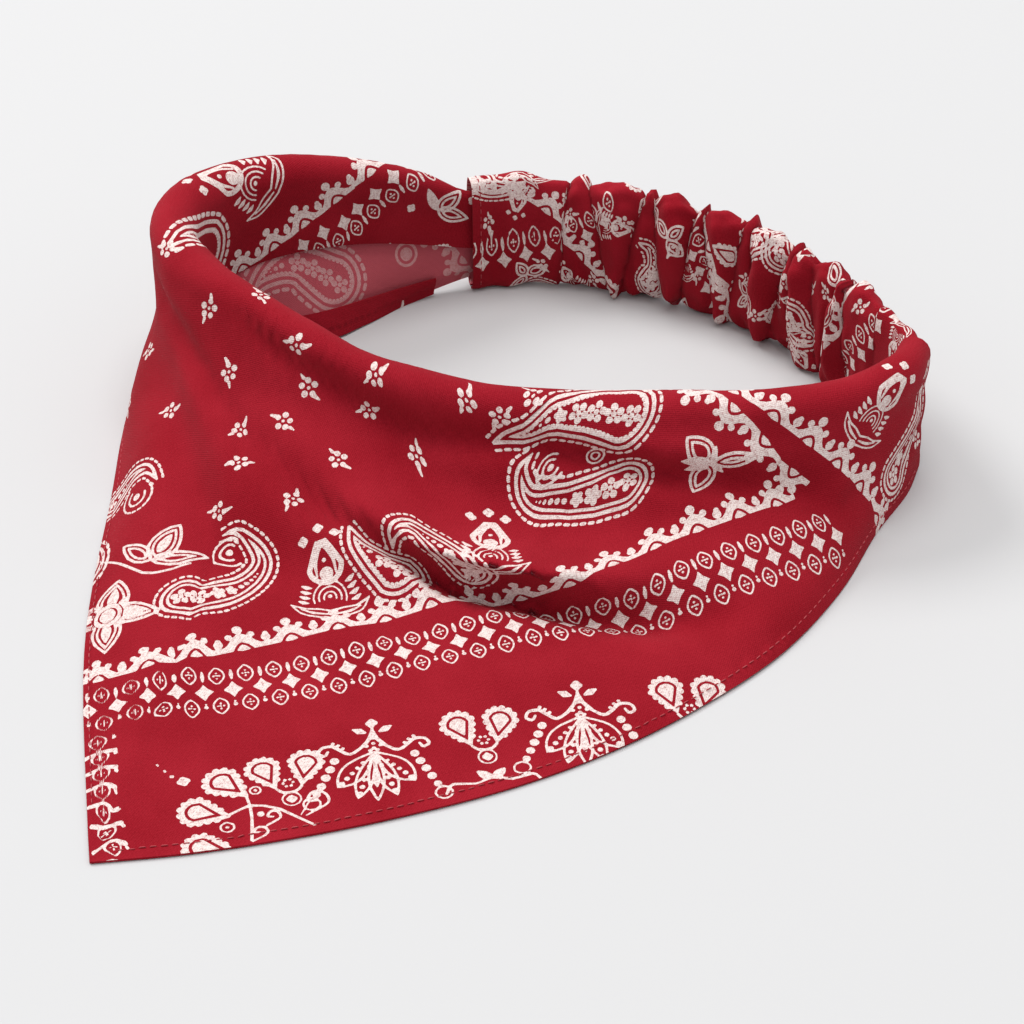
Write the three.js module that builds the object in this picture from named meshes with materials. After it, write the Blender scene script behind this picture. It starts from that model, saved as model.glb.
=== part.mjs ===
import * as THREE from 'three';

// A bandana headband that stands by itself as an open ring: a triangular kerchief whose long edge
// is rolled over, closed at the back by a ruched elastic casing. Millimetres, +Z up.
// +X is to the right and -Y is to the front, where the kerchief's tip lies flat.

// driving dimensions
const CLOTH = 1.4;              // thickness of the kerchief's wall
const CASING_CLOTH = 1.2;       // thickness of the casing's wall
const ELASTIC = { height: 25, thickness: 1.0, from: 1, fromLeftEnd: 7.7, stations: 40 };
const SEAM_GAP = 0.45;          // air between two pieces that are sewn together
const TURN_UP = { thickness: 1.2, fromRow: 1.6, toRow: 5.6, stations: 26, fromDepth: 0.84, strips: 4 };
const FLAT_BELOW = 0.45;        // underside points lower than this rest on z = 0

const KERCHIEF_GRID = { perRow: 4, facing: 6, outer: 18, closerOnRoll: 1.35 };
const WALL_STEPS = 24;          // chords that measure one section of the wall
const TIP_ROW = 10;

// The kerchief's sections, from the seam at the back left, round the left and the front, to the
// seam at the right. Each row is one strip of cloth from the roll along the top down to the hem.
const SECTION_COLUMNS = [
  'crestX', 'crestY', 'crestZ', 'hemX', 'hemY', 'lift',
  'roll', 'facing', 'facingLean', 'steep', 'lie', 'topReach', 'hemReach',
];
const SECTION_ROWS = [
  [-6.0, 118.4, 34.2, -6.3, 119.7, 3.4, 1.7, 20, 0.1, 88, 88, 0.33, 0.33],
  [-14.0, 116.6, 34.8, -14.4, 117.8, 3.2, 1.8, 20, 0.1, 88, 88, 0.33, 0.33],
  [-30.0, 112.5, 44.0, -32.5, 109.0, 0.0, 3.4, 26, 1.0, 90, 60, 0.33, 0.33],
  [-52.0, 104.5, 53.0, -46.0, 96.0, 0.0, 5.0, 30, 1.5, 90, 50, 0.33, 0.33],
  [-73.0, 97.0, 57.0, -58.0, 86.5, 0.0, 6.0, 34, 2.0, 90, 48, 0.34, 0.33],
  [-89.0, 86.5, 58.0, -82.0, 81.0, 0.0, 6.6, 38, 3.5, 90, 52, 0.34, 0.33],
  [-96.5, 72.0, 58.0, -105.0, 72.0, 0.0, 7.0, 40, 5.5, 86, 56, 0.35, 0.35],
  [-95.5, 56.5, 57.5, -111.5, 44.0, 0.0, 7.0, 41, 6.5, 84, 44, 0.36, 0.38],
  [-87.0, 42.5, 56.5, -111.5, 6.0, 0.0, 7.0, 40, 6.5, 80, 28, 0.36, 0.40],
  [-75.5, 31.0, 54.5, -110.5, -60.0, 0.0, 6.6, 38, 6.0, 74, 12, 0.34, 0.42],
  [-62.5, 20.5, 52.0, -99.5, -138.0, 0.0, 6.2, 38, 6.0, 68, 1, 0.26, 0.45],
  [-49.0, 11.5, 49.5, -76.0, -134.8, 0.0, 6.0, 37, 6.0, 68, 1, 0.26, 0.45],
  [-36.0, 4.5, 47.5, -52.0, -129.6, 0.0, 6.0, 36, 6.0, 68, 2, 0.26, 0.45],
  [-21.0, -1.0, 45.5, -27.0, -122.4, 0.0, 6.0, 35, 6.0, 68, 4, 0.27, 0.45],
  [-3.0, -4.5, 44.3, 0.0, -112.2, 0.0, 6.0, 34, 6.0, 68, 8, 0.28, 0.44],
  [19.0, -5.5, 43.6, 25.0, -98.8, 0.0, 6.0, 33, 6.0, 68, 12, 0.30, 0.42],
  [42.0, -6.0, 43.2, 48.5, -81.6, 0.0, 6.0, 32, 6.0, 68, 18, 0.32, 0.40],
  [64.0, -5.5, 43.0, 69.5, -61.5, 0.0, 6.0, 31, 6.0, 70, 28, 0.34, 0.38],
  [82.5, -2.5, 43.2, 87.0, -36.0, 0.0, 5.8, 30, 5.0, 76, 42, 0.36, 0.36],
  [97.0, 3.5, 44.0, 99.5, -10.0, 0.0, 5.4, 29, 3.0, 84, 60, 0.36, 0.36],
  [106.5, 12.0, 44.4, 110.0, 8.0, 0.0, 4.8, 28, 0.8, 88, 80, 0.34, 0.34],
  [111.0, 22.2, 43.2, 115.0, 20.8, 1.0, 4.2, 26, 0.0, 89, 88, 0.33, 0.33],
];

// The largest folds run along the ring. Each line gives, for a section, how far down the wall the
// fold lies as a share of its length, how far it stands out (minus is a trough) and its half width.
const FOLD_COLUMNS = ['section', 'down', 'out', 'halfWidth'];
const FOLDS = {
  troughUnderRoll: [
    [0, 0.40, 0.0, 8], [4, 0.38, -1.2, 9], [7, 0.26, -2.2, 10], [9, 0.17, -3.2, 11],
    [11, 0.16, -3.8, 11], [13, 0.22, -3.6, 11], [15, 0.36, -3.2, 10], [17, 0.44, -2.6, 10],
    [19, 0.48, -1.6, 9], [21, 0.50, 0.0, 8],
  ],
  troughLow: [
    [0, 0.60, 0.0, 8], [5, 0.60, -2.4, 9], [7, 0.52, -3.4, 11], [9, 0.46, -3.4, 12],
    [11, 0.48, -4.0, 11], [13, 0.56, -5.0, 9], [15, 0.66, -3.8, 8], [17, 0.70, -1.0, 8],
    [21, 0.70, 0.0, 8],
  ],
  ridgeAboveLow: [
    [0, 0.40, 0.0, 8], [6, 0.34, 0.0, 8], [8, 0.30, 1.5, 10], [10, 0.32, 2.0, 11],
    [12, 0.40, 3.0, 10], [14, 0.50, 3.2, 9], [16, 0.58, 1.0, 8], [18, 0.60, 0.0, 8],
  ],
};

// The casing's middle line, from inside the kerchief's right end to the mouth at the back left.
const CASING_COLUMNS = ['x', 'y', 'low', 'high', 'halfThick', 'square'];
const CASING_ROWS = [
  [108.9, 15.6, 1.2, 40.6, 2.3, 4.0],
  [111.1, 22.0, 1.0, 40.4, 2.3, 4.0],
  [110.6, 32.0, 0.9, 38.6, 3.0, 3.0],
  [105.5, 45.0, 0.8, 37.4, 3.2, 2.6],
  [98.0, 59.0, 0.7, 36.6, 2.8, 2.6],
  [89.5, 72.5, 0.7, 36.4, 2.6, 2.6],
  [79.5, 85.5, 0.7, 36.2, 2.6, 2.6],
  [67.5, 96.5, 0.7, 36.2, 2.6, 2.6],
  [53.5, 105.8, 0.7, 36.2, 2.6, 2.6],
  [37.5, 113.0, 0.7, 36.4, 2.8, 2.6],
  [20.0, 118.0, 0.7, 37.0, 3.2, 2.8],
  [4.0, 119.6, 0.7, 38.0, 3.4, 3.4],
  [-6.0, 118.7, 0.7, 38.4, 3.75, 4.0],
  [-13.0, 116.95, 0.7, 38.4, 3.85, 4.0],
];
// The elastic draws the casing into uneven ruffles. A gather is the valley between two of them:
// its place along the casing in mm from the right end, its depth, and how far its top leans.
const GATHER_COLUMNS = ['place', 'depth', 'lean'];
const GATHERS = [
  [30, 0.35, 2.0], [45, 0.80, 2.5], [54, 1.00, -1.5], [62, 0.85, 2.0], [71, 1.00, 1.0],
  [79, 0.80, -2.0], [88, 1.00, 1.5], [95, 0.75, -1.0], [104, 1.00, 2.0], [112, 0.90, -1.5],
  [122, 0.80, 1.5], [131, 1.00, -2.0], [141, 0.70, 2.5], [152, 0.85, -1.0],
];
const RUFFLE = { out: 2.8, rise: 1.3, lift: 1.6, sway: 0.9 };
const CASING_GRID = { fineStep: 1.75, coarseStep: 6.5, fineFrom: 36, fineTo: 158, around: 18 };
const MARKS_PER_ROW = 20;       // chords that measure the casing between two of its rows

const RED = 0xa51522;
const WHITE = 0xe8e4dc;
const cloth = (name, colour) => {
  const material = new THREE.MeshStandardMaterial({ color: colour, roughness: 0.92, metalness: 0 });
  material.name = name;
  return material;
};

const namedRows = (columns, rows) => rows.map(
  (row) => Object.fromEntries(columns.map((column, i) => [column, row[i]])),
);

const clamp = (value, low, high) => Math.min(high, Math.max(low, value));

// a smooth curve through a table's rows, at a place counted in rows
function alongRows(rows, place) {
  const last = rows.length - 1;
  const i = clamp(Math.floor(place), 0, last - 1);
  const f = clamp(place, 0, last) - i;
  const at = {};
  for (const key of Object.keys(rows[0])) {
    const b = rows[i][key];
    const c = rows[i + 1][key];
    const a = i > 0 ? rows[i - 1][key] : 2 * b - c;
    const d = i + 2 <= last ? rows[i + 2][key] : 2 * c - b;
    at[key] = 0.5 * (2 * b + (c - a) * f + (2 * a - 5 * b + 4 * c - d) * f * f
      + (3 * b - a - 3 * c + d) * f * f * f);
  }
  return at;
}

const sectionRows = namedRows(SECTION_COLUMNS, SECTION_ROWS);
const leftRows = sectionRows.slice(0, TIP_ROW + 1);
const rightRows = sectionRows.slice(TIP_ROW);

// the hem turns a corner at the tip, so each side of it is a curve of its own
function sectionAt(place) {
  const section = alongRows(sectionRows, place);
  const side = place <= TIP_ROW ? alongRows(leftRows, place) : alongRows(rightRows, place - TIP_ROW);
  // the hem's middle lies half the cloth's thickness up where it lies flat, and on the floor
  // where it stands on edge
  const hemZ = section.lift + (CLOTH / 2) * Math.cos(THREE.MathUtils.degToRad(section.lie));
  return { ...section, hemX: side.hemX, hemY: side.hemY, hemZ };
}

function foldRowAt(rows, place) {
  const i = clamp(rows.findIndex((row) => row.section >= place), 1, rows.length - 1);
  const from = rows[i - 1];
  const to = rows[i];
  const f = THREE.MathUtils.smoothstep(place, from.section, to.section);
  const straight = clamp((place - from.section) / (to.section - from.section), 0, 1);
  return {
    down: THREE.MathUtils.lerp(from.down, to.down, straight),
    out: THREE.MathUtils.lerp(from.out, to.out, f),
    halfWidth: THREE.MathUtils.lerp(from.halfWidth, to.halfWidth, f),
  };
}
const foldLines = Object.values(FOLDS).map((rows) => namedRows(FOLD_COLUMNS, rows));

function foldOut(place, down, length) {
  let out = 0;
  for (const rows of foldLines) {
    const fold = foldRowAt(rows, place);
    const away = ((down - fold.down) * length) / fold.halfWidth;
    out += fold.out * Math.exp(-away * away);
  }
  return out;
}

// the level direction that points out of the ring where the top edge passes
function outwardAt(place) {
  const step = 0.01;
  const ahead = alongRows(sectionRows, Math.min(place + step, sectionRows.length - 1));
  const behind = alongRows(sectionRows, Math.max(place - step, 0));
  return new THREE.Vector3(ahead.crestY - behind.crestY, behind.crestX - ahead.crestX, 0).normalize();
}

// One section: the facing hangs inside from the roll, the roll turns over the top, and the outer
// wall falls to the hem. depth runs from -1 at the facing's edge, through 0 on top, to 1 at the hem.
function kerchiefPoint(place, depth) {
  const k = sectionAt(place);
  const outward = outwardAt(place);
  const rollCentre = new THREE.Vector3(k.crestX, k.crestY, k.crestZ - k.roll);
  const onRoll = (angle) => rollCentre.clone()
    .addScaledVector(outward, k.roll * Math.sin(angle))
    .add(new THREE.Vector3(0, 0, k.roll * Math.cos(angle)));

  if (depth < 0) {
    const quarter = (k.roll * Math.PI) / 2;
    const walked = -depth * k.facing;
    if (walked <= quarter) return onRoll(-walked / k.roll);
    const share = (walked - quarter) / (k.facing - quarter);
    return onRoll(-Math.PI / 2)
      .addScaledVector(outward, k.facingLean * share * share)
      .add(new THREE.Vector3(0, 0, -(k.facing - quarter) * share));
  }

  const steep = THREE.MathUtils.degToRad(k.steep);
  const lie = THREE.MathUtils.degToRad(k.lie);
  const start = onRoll(steep);
  const hem = new THREE.Vector3(k.hemX, k.hemY, k.hemZ);
  const span = start.distanceTo(hem);
  const rolled = (k.roll * steep) / (k.roll * steep + span);
  if (depth <= rolled) return onRoll((depth / rolled) * steep);
  const level = new THREE.Vector3(hem.x - start.x, hem.y - start.y, 0);
  const leaving = start.clone()
    .addScaledVector(outward, k.topReach * span * Math.cos(steep))
    .add(new THREE.Vector3(0, 0, -k.topReach * span * Math.sin(steep)));
  const landing = hem.clone()
    .addScaledVector(level, -k.hemReach * Math.cos(lie))
    .add(new THREE.Vector3(0, 0, k.hemReach * span * Math.sin(lie)));
  const fall = new THREE.CubicBezierCurve3(start, leaving, landing, hem);
  return fall.getPoint((depth - rolled) / (1 - rolled));
}

// normals of a grid of points, one row of points for each station
function gridNormals(grid, closed = false) {
  const stations = grid.length;
  const points = grid[0].length;
  return grid.map((row, i) => row.map((_, j) => {
    const before = grid[Math.max(i - 1, 0)][j];
    const after = grid[Math.min(i + 1, stations - 1)][j];
    const low = closed ? (j + points - 1) % points : Math.max(j - 1, 0);
    const high = closed ? (j + 1) % points : Math.min(j + 1, points - 1);
    const along = new THREE.Vector3().subVectors(after, before);
    const down = new THREE.Vector3().subVectors(row[high], row[low]);
    return new THREE.Vector3().crossVectors(down, along).normalize();
  }));
}

function depths() {
  const list = [];
  for (let i = KERCHIEF_GRID.facing; i > 0; i -= 1) list.push(-i / KERCHIEF_GRID.facing);
  for (let i = 0; i <= KERCHIEF_GRID.outer; i += 1) {
    // points are closer together on the roll than near the hem
    list.push((i / KERCHIEF_GRID.outer) ** KERCHIEF_GRID.closerOnRoll);
  }
  return list;
}

function wallLength(place) {
  let length = 0;
  for (let i = 1; i <= WALL_STEPS; i += 1) {
    const from = kerchiefPoint(place, (i - 1) / WALL_STEPS);
    length += kerchiefPoint(place, i / WALL_STEPS).distanceTo(from);
  }
  return length;
}

// middle surface of the kerchief at a list of places and depths, with its folds
function kerchiefGrid(places, depthList) {
  const grid = places.map((place) => depthList.map((depth) => kerchiefPoint(place, depth)));
  const normals = gridNormals(grid);
  return grid.map((row, i) => {
    const length = wallLength(places[i]);
    return row.map((point, j) => {
      const depth = depthList[j];
      if (depth <= 0) return point;
      return point.clone().addScaledVector(normals[i][j], foldOut(places[i], depth, length));
    });
  });
}

const evenly = (from, to, steps) => Array.from(
  { length: steps + 1 },
  (_, i) => from + ((to - from) * i) / steps,
);

// Closes two facing grids of points into one solid wall. Both grids run the same way.
function solidBetween(outer, inner, closedRound = false) {
  const stations = outer.length;
  const points = outer[0].length;
  const positions = [];
  for (const grid of [outer, inner]) {
    for (const row of grid) for (const point of row) positions.push(point.x, point.y, point.z);
  }
  const outerAt = (i, j) => i * points + (j % points);
  const innerAt = (i, j) => stations * points + i * points + (j % points);
  const faces = [];
  const quad = (a, b, c, d) => faces.push(a, b, c, a, c, d);
  const spans = closedRound ? points : points - 1;
  for (let i = 0; i < stations - 1; i += 1) {
    for (let j = 0; j < spans; j += 1) {
      quad(outerAt(i, j), outerAt(i, j + 1), outerAt(i + 1, j + 1), outerAt(i + 1, j));
      quad(innerAt(i, j), innerAt(i + 1, j), innerAt(i + 1, j + 1), innerAt(i, j + 1));
    }
  }
  for (let j = 0; j < spans; j += 1) {
    quad(outerAt(0, j), innerAt(0, j), innerAt(0, j + 1), outerAt(0, j + 1));
    const end = stations - 1;
    quad(outerAt(end, j), outerAt(end, j + 1), innerAt(end, j + 1), innerAt(end, j));
  }
  if (!closedRound) {
    const last = points - 1;
    for (let i = 0; i < stations - 1; i += 1) {
      quad(outerAt(i, 0), outerAt(i + 1, 0), innerAt(i + 1, 0), innerAt(i, 0));
      quad(outerAt(i, last), innerAt(i, last), innerAt(i + 1, last), outerAt(i + 1, last));
    }
  }
  const geometry = new THREE.BufferGeometry();
  geometry.setAttribute('position', new THREE.Float32BufferAttribute(positions, 3));
  geometry.setIndex(faces);
  geometry.computeVertexNormals();
  return geometry;
}

const moved = (grid, normals, distance) => grid.map(
  (row, i) => row.map((point, j) => point.clone().addScaledVector(normals[i][j], distance)),
);

// cloth cannot reach below the surface it lies on, and lies flat where it touches it
const onFloor = (grid) => grid.map((row) => row.map(
  (point) => new THREE.Vector3(point.x, point.y, point.z < FLAT_BELOW ? 0 : point.z),
));

function makeKerchief() {
  const last = SECTION_ROWS.length - 1;
  const middle = kerchiefGrid(evenly(0, last, last * KERCHIEF_GRID.perRow), depths());
  const normals = gridNormals(middle);
  const outer = moved(middle, normals, CLOTH / 2);
  const inner = onFloor(moved(middle, normals, -CLOTH / 2));
  const geometry = solidBetween(outer, inner);
  const mesh = new THREE.Mesh(geometry, cloth('printed cotton', RED));
  mesh.name = 'kerchief';
  return mesh;
}

// The lower edge is turned up inside beside the back left seam, where it shows as a low strip of
// the right side. It is made from the wall's own points, moved inward by a seam gap.
function makeTurnedEdge() {
  const places = evenly(TURN_UP.fromRow, TURN_UP.toRow, TURN_UP.stations);
  const middle = kerchiefGrid(places, evenly(TURN_UP.fromDepth, 1, TURN_UP.strips));
  const normals = gridNormals(middle);
  const near = CLOTH / 2 + SEAM_GAP;
  const outer = onFloor(moved(middle, normals, -near));
  const inner = onFloor(moved(middle, normals, -near - TURN_UP.thickness));
  const mesh = new THREE.Mesh(solidBetween(outer, inner), cloth('printed cotton', RED));
  mesh.name = 'kerchief_turned_edge';
  return mesh;
}

const casingRows = namedRows(CASING_COLUMNS, CASING_ROWS);

// places along the casing are in mm, so its rows are measured first
const casingMarks = (() => {
  const marks = [{ place: 0, mm: 0 }];
  const last = casingRows.length - 1;
  let before = alongRows(casingRows, 0);
  for (let i = 1; i <= last * MARKS_PER_ROW; i += 1) {
    const at = alongRows(casingRows, i / MARKS_PER_ROW);
    const mm = marks[marks.length - 1].mm + Math.hypot(at.x - before.x, at.y - before.y);
    marks.push({ place: i / MARKS_PER_ROW, mm });
    before = at;
  }
  return marks;
})();
const CASING_LENGTH = casingMarks[casingMarks.length - 1].mm;

function casingAt(mm) {
  const i = clamp(casingMarks.findIndex((mark) => mark.mm >= mm), 1, casingMarks.length - 1);
  const from = casingMarks[i - 1];
  const to = casingMarks[i];
  const share = (mm - from.mm) / (to.mm - from.mm);
  const place = THREE.MathUtils.lerp(from.place, to.place, share);
  const step = 0.02;
  const last = casingRows.length - 1;
  const ahead = alongRows(casingRows, Math.min(place + step, last));
  const behind = alongRows(casingRows, Math.max(place - step, 0));
  const length = Math.hypot(ahead.x - behind.x, ahead.y - behind.y);
  const at = alongRows(casingRows, place);
  // outward is to the right of the way the casing runs, away from the ring's middle
  at.outX = (ahead.y - behind.y) / length;
  at.outY = -(ahead.x - behind.x) / length;
  return at;
}

const gathers = namedRows(GATHER_COLUMNS, GATHERS);

// how full the cloth is between two gathers: 0 in a valley, up to 1 on a ruffle
function ruffleAt(mm, heightShare) {
  const places = gathers.map((gather) => gather.place + gather.lean * heightShare);
  const next = places.findIndex((place) => place > mm);
  if (next <= 0) return { full: 0, side: 0, drawn: 0 };
  const share = (mm - places[next - 1]) / (places[next] - places[next - 1]);
  const drawn = THREE.MathUtils.lerp(gathers[next - 1].depth, gathers[next].depth, share);
  const full = drawn * (0.5 - 0.5 * Math.cos(2 * Math.PI * share));
  return { full, side: next % 2 ? 1 : -1, drawn };
}

function casingRing(mm) {
  const at = casingAt(mm);
  const ring = [];
  for (let i = 0; i < CASING_GRID.around; i += 1) {
    const angle = (i / CASING_GRID.around) * 2 * Math.PI;
    const power = 2 / at.square;
    const across = Math.sign(Math.cos(angle)) * Math.abs(Math.cos(angle)) ** power;
    const upward = Math.sign(Math.sin(angle)) * Math.abs(Math.sin(angle)) ** power;
    const ruffle = ruffleAt(mm, upward);
    const top = at.high + RUFFLE.rise * (2 * ruffle.full - ruffle.drawn);
    const bottom = at.low + RUFFLE.lift * (ruffle.drawn - ruffle.full);
    const half = at.halfThick + RUFFLE.out * ruffle.full;
    const sway = RUFFLE.sway * ruffle.full * ruffle.side;
    const out = across * half + sway;
    const height = (top + bottom) / 2 + ((top - bottom) / 2) * upward;
    ring.push(new THREE.Vector3(at.x + at.outX * out, at.y + at.outY * out, height));
  }
  return ring;
}

function casingStations() {
  const { fineFrom, fineTo, fineStep, coarseStep } = CASING_GRID;
  return [
    ...evenly(0, fineFrom, Math.round(fineFrom / coarseStep)),
    ...evenly(fineFrom, fineTo, Math.round((fineTo - fineFrom) / fineStep)).slice(1),
    ...evenly(fineTo, CASING_LENGTH, Math.round((CASING_LENGTH - fineTo) / coarseStep)).slice(1),
  ];
}

function makeCasing() {
  const middle = casingStations().map(casingRing);
  const normals = gridNormals(middle, true);
  const outer = moved(middle, normals, -CASING_CLOTH / 2);
  const inner = moved(middle, normals, CASING_CLOTH / 2);
  const geometry = solidBetween(inner, outer, true);
  const mesh = new THREE.Mesh(geometry, cloth('printed cotton', RED));
  mesh.name = 'casing';
  return mesh;
}

// a flat elastic band runs inside the casing, sewn in at both of its ends
function makeElastic() {
  const half = ELASTIC.thickness / 2;
  const stations = evenly(ELASTIC.from, CASING_LENGTH - ELASTIC.fromLeftEnd, ELASTIC.stations);
  const side = (distance) => stations.map((mm) => {
    const at = casingAt(mm);
    const middle = (at.low + at.high) / 2;
    return [-ELASTIC.height / 2, ELASTIC.height / 2].map((rise) => new THREE.Vector3(
      at.x + at.outX * distance,
      at.y + at.outY * distance,
      middle + rise,
    ));
  });
  const mesh = new THREE.Mesh(solidBetween(side(-half), side(half)), cloth('elastic', WHITE));
  mesh.name = 'elastic';
  return mesh;
}

const bandana = new THREE.Group();
bandana.add(makeKerchief(), makeTurnedEdge(), makeCasing(), makeElastic());

// the origin is the middle of the underside of the whole
const extent = new THREE.Box3().setFromObject(bandana, true);
const centre = extent.getCenter(new THREE.Vector3());
bandana.position.set(-centre.x, -centre.y, -extent.min.z);

export default bandana;
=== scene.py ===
import math

import bpy
import numpy as np
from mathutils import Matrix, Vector
from mathutils.geometry import delaunay_2d_cdt


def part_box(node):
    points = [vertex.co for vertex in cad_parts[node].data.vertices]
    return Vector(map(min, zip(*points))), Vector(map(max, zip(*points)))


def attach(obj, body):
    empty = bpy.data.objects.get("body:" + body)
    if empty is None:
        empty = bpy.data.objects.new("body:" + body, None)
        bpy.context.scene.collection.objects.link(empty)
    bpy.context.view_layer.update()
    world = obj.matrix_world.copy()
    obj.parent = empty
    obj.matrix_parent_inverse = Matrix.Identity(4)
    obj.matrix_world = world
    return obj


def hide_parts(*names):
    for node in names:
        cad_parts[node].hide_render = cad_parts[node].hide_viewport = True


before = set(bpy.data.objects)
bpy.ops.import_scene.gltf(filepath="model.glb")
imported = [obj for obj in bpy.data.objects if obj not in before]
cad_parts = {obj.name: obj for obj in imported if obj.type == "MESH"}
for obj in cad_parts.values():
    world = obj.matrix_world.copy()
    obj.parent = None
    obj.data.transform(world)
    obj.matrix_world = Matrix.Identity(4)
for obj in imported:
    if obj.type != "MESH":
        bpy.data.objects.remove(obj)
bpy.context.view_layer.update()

# A bandana headband in printed cotton. Lengths are in millimetres until a mesh is made.
MM = 0.001
CLOTH = 0.6                # how thick the cloth is drawn
CAD_CLOTH = 1.4            # the wall that it stands for
TURN_UP_IN = 1.75          # from the wall's middle to the middle of the edge turned up inside it

# The kerchief's sections, from the seam at the back left, round the left and the front, to the
# seam at the right. Each row is one strip of cloth from the roll along the top down to the hem.
SECTIONS = np.array([
    # crest x, y, z, hem x, y, lift, roll, facing, facing lean, steep, lie, top reach, hem reach
    (-6.0, 118.4, 34.2, -6.3, 119.7, 3.4, 1.7, 20, 0.1, 88, 88, 0.33, 0.33),
    (-14.0, 116.6, 34.8, -14.4, 117.8, 3.2, 1.8, 20, 0.1, 88, 88, 0.33, 0.33),
    (-30.0, 112.5, 44.0, -32.5, 109.0, 0.0, 3.4, 26, 1.0, 90, 60, 0.33, 0.33),
    (-52.0, 104.5, 53.0, -46.0, 96.0, 0.0, 5.0, 30, 1.5, 90, 50, 0.33, 0.33),
    (-73.0, 97.0, 57.0, -58.0, 86.5, 0.0, 6.0, 34, 2.0, 90, 48, 0.34, 0.33),
    (-89.0, 86.5, 58.0, -82.0, 81.0, 0.0, 6.6, 38, 3.5, 90, 52, 0.34, 0.33),
    (-96.5, 72.0, 58.0, -105.0, 72.0, 0.0, 7.0, 40, 5.5, 86, 56, 0.35, 0.35),
    (-95.5, 56.5, 57.5, -111.5, 44.0, 0.0, 7.0, 41, 6.5, 84, 44, 0.36, 0.38),
    (-87.0, 42.5, 56.5, -111.5, 6.0, 0.0, 7.0, 40, 6.5, 80, 28, 0.36, 0.40),
    (-75.5, 31.0, 54.5, -110.5, -60.0, 0.0, 6.6, 38, 6.0, 74, 12, 0.34, 0.42),
    (-62.5, 20.5, 52.0, -99.5, -138.0, 0.0, 6.2, 38, 6.0, 68, 1, 0.26, 0.45),
    (-49.0, 11.5, 49.5, -76.0, -134.8, 0.0, 6.0, 37, 6.0, 68, 1, 0.26, 0.45),
    (-36.0, 4.5, 47.5, -52.0, -129.6, 0.0, 6.0, 36, 6.0, 68, 2, 0.26, 0.45),
    (-21.0, -1.0, 45.5, -27.0, -122.4, 0.0, 6.0, 35, 6.0, 68, 4, 0.27, 0.45),
    (-3.0, -4.5, 44.3, 0.0, -112.2, 0.0, 6.0, 34, 6.0, 68, 8, 0.28, 0.44),
    (19.0, -5.5, 43.6, 25.0, -98.8, 0.0, 6.0, 33, 6.0, 68, 12, 0.30, 0.42),
    (42.0, -6.0, 43.2, 48.5, -81.6, 0.0, 6.0, 32, 6.0, 68, 18, 0.32, 0.40),
    (64.0, -5.5, 43.0, 69.5, -61.5, 0.0, 6.0, 31, 6.0, 70, 28, 0.34, 0.38),
    (82.5, -2.5, 43.2, 87.0, -36.0, 0.0, 5.8, 30, 5.0, 76, 42, 0.36, 0.36),
    (97.0, 3.5, 44.0, 99.5, -10.0, 0.0, 5.4, 29, 3.0, 84, 60, 0.36, 0.36),
    (106.5, 12.0, 44.4, 110.0, 8.0, 0.0, 4.8, 28, 0.8, 88, 80, 0.34, 0.34),
    (111.0, 22.2, 43.2, 115.0, 20.8, 1.0, 4.2, 26, 0.0, 89, 88, 0.33, 0.33),
])
TIP_ROW = 10
LAST_ROW = len(SECTIONS) - 1

# Folds that run along the ring: section, how far down the wall, how far out (minus is a trough),
# half width. The three longest are in the solids too.
FOLDS = [
    np.array([(0, .40, 0, 8), (4, .38, -1.2, 9), (7, .26, -2.2, 10), (9, .17, -3.2, 11),
              (11, .16, -3.8, 11), (13, .22, -3.6, 11), (15, .36, -3.2, 10),
              (17, .44, -2.6, 10), (19, .48, -1.6, 9), (21, .50, 0, 8)]),
    np.array([(0, .60, 0, 8), (5, .60, -2.4, 9), (7, .52, -3.4, 11), (9, .46, -3.4, 12),
              (11, .48, -4.0, 11), (13, .56, -5.0, 9), (15, .66, -3.8, 8), (17, .70, -1.0, 8),
              (21, .70, 0, 8)]),
    np.array([(0, .40, 0, 8), (6, .34, 0, 8), (8, .30, 1.5, 10), (10, .32, 2.0, 11),
              (12, .40, 3.0, 10), (14, .50, 3.2, 9), (16, .58, 1.0, 8), (18, .60, 0, 8)]),
]

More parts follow.
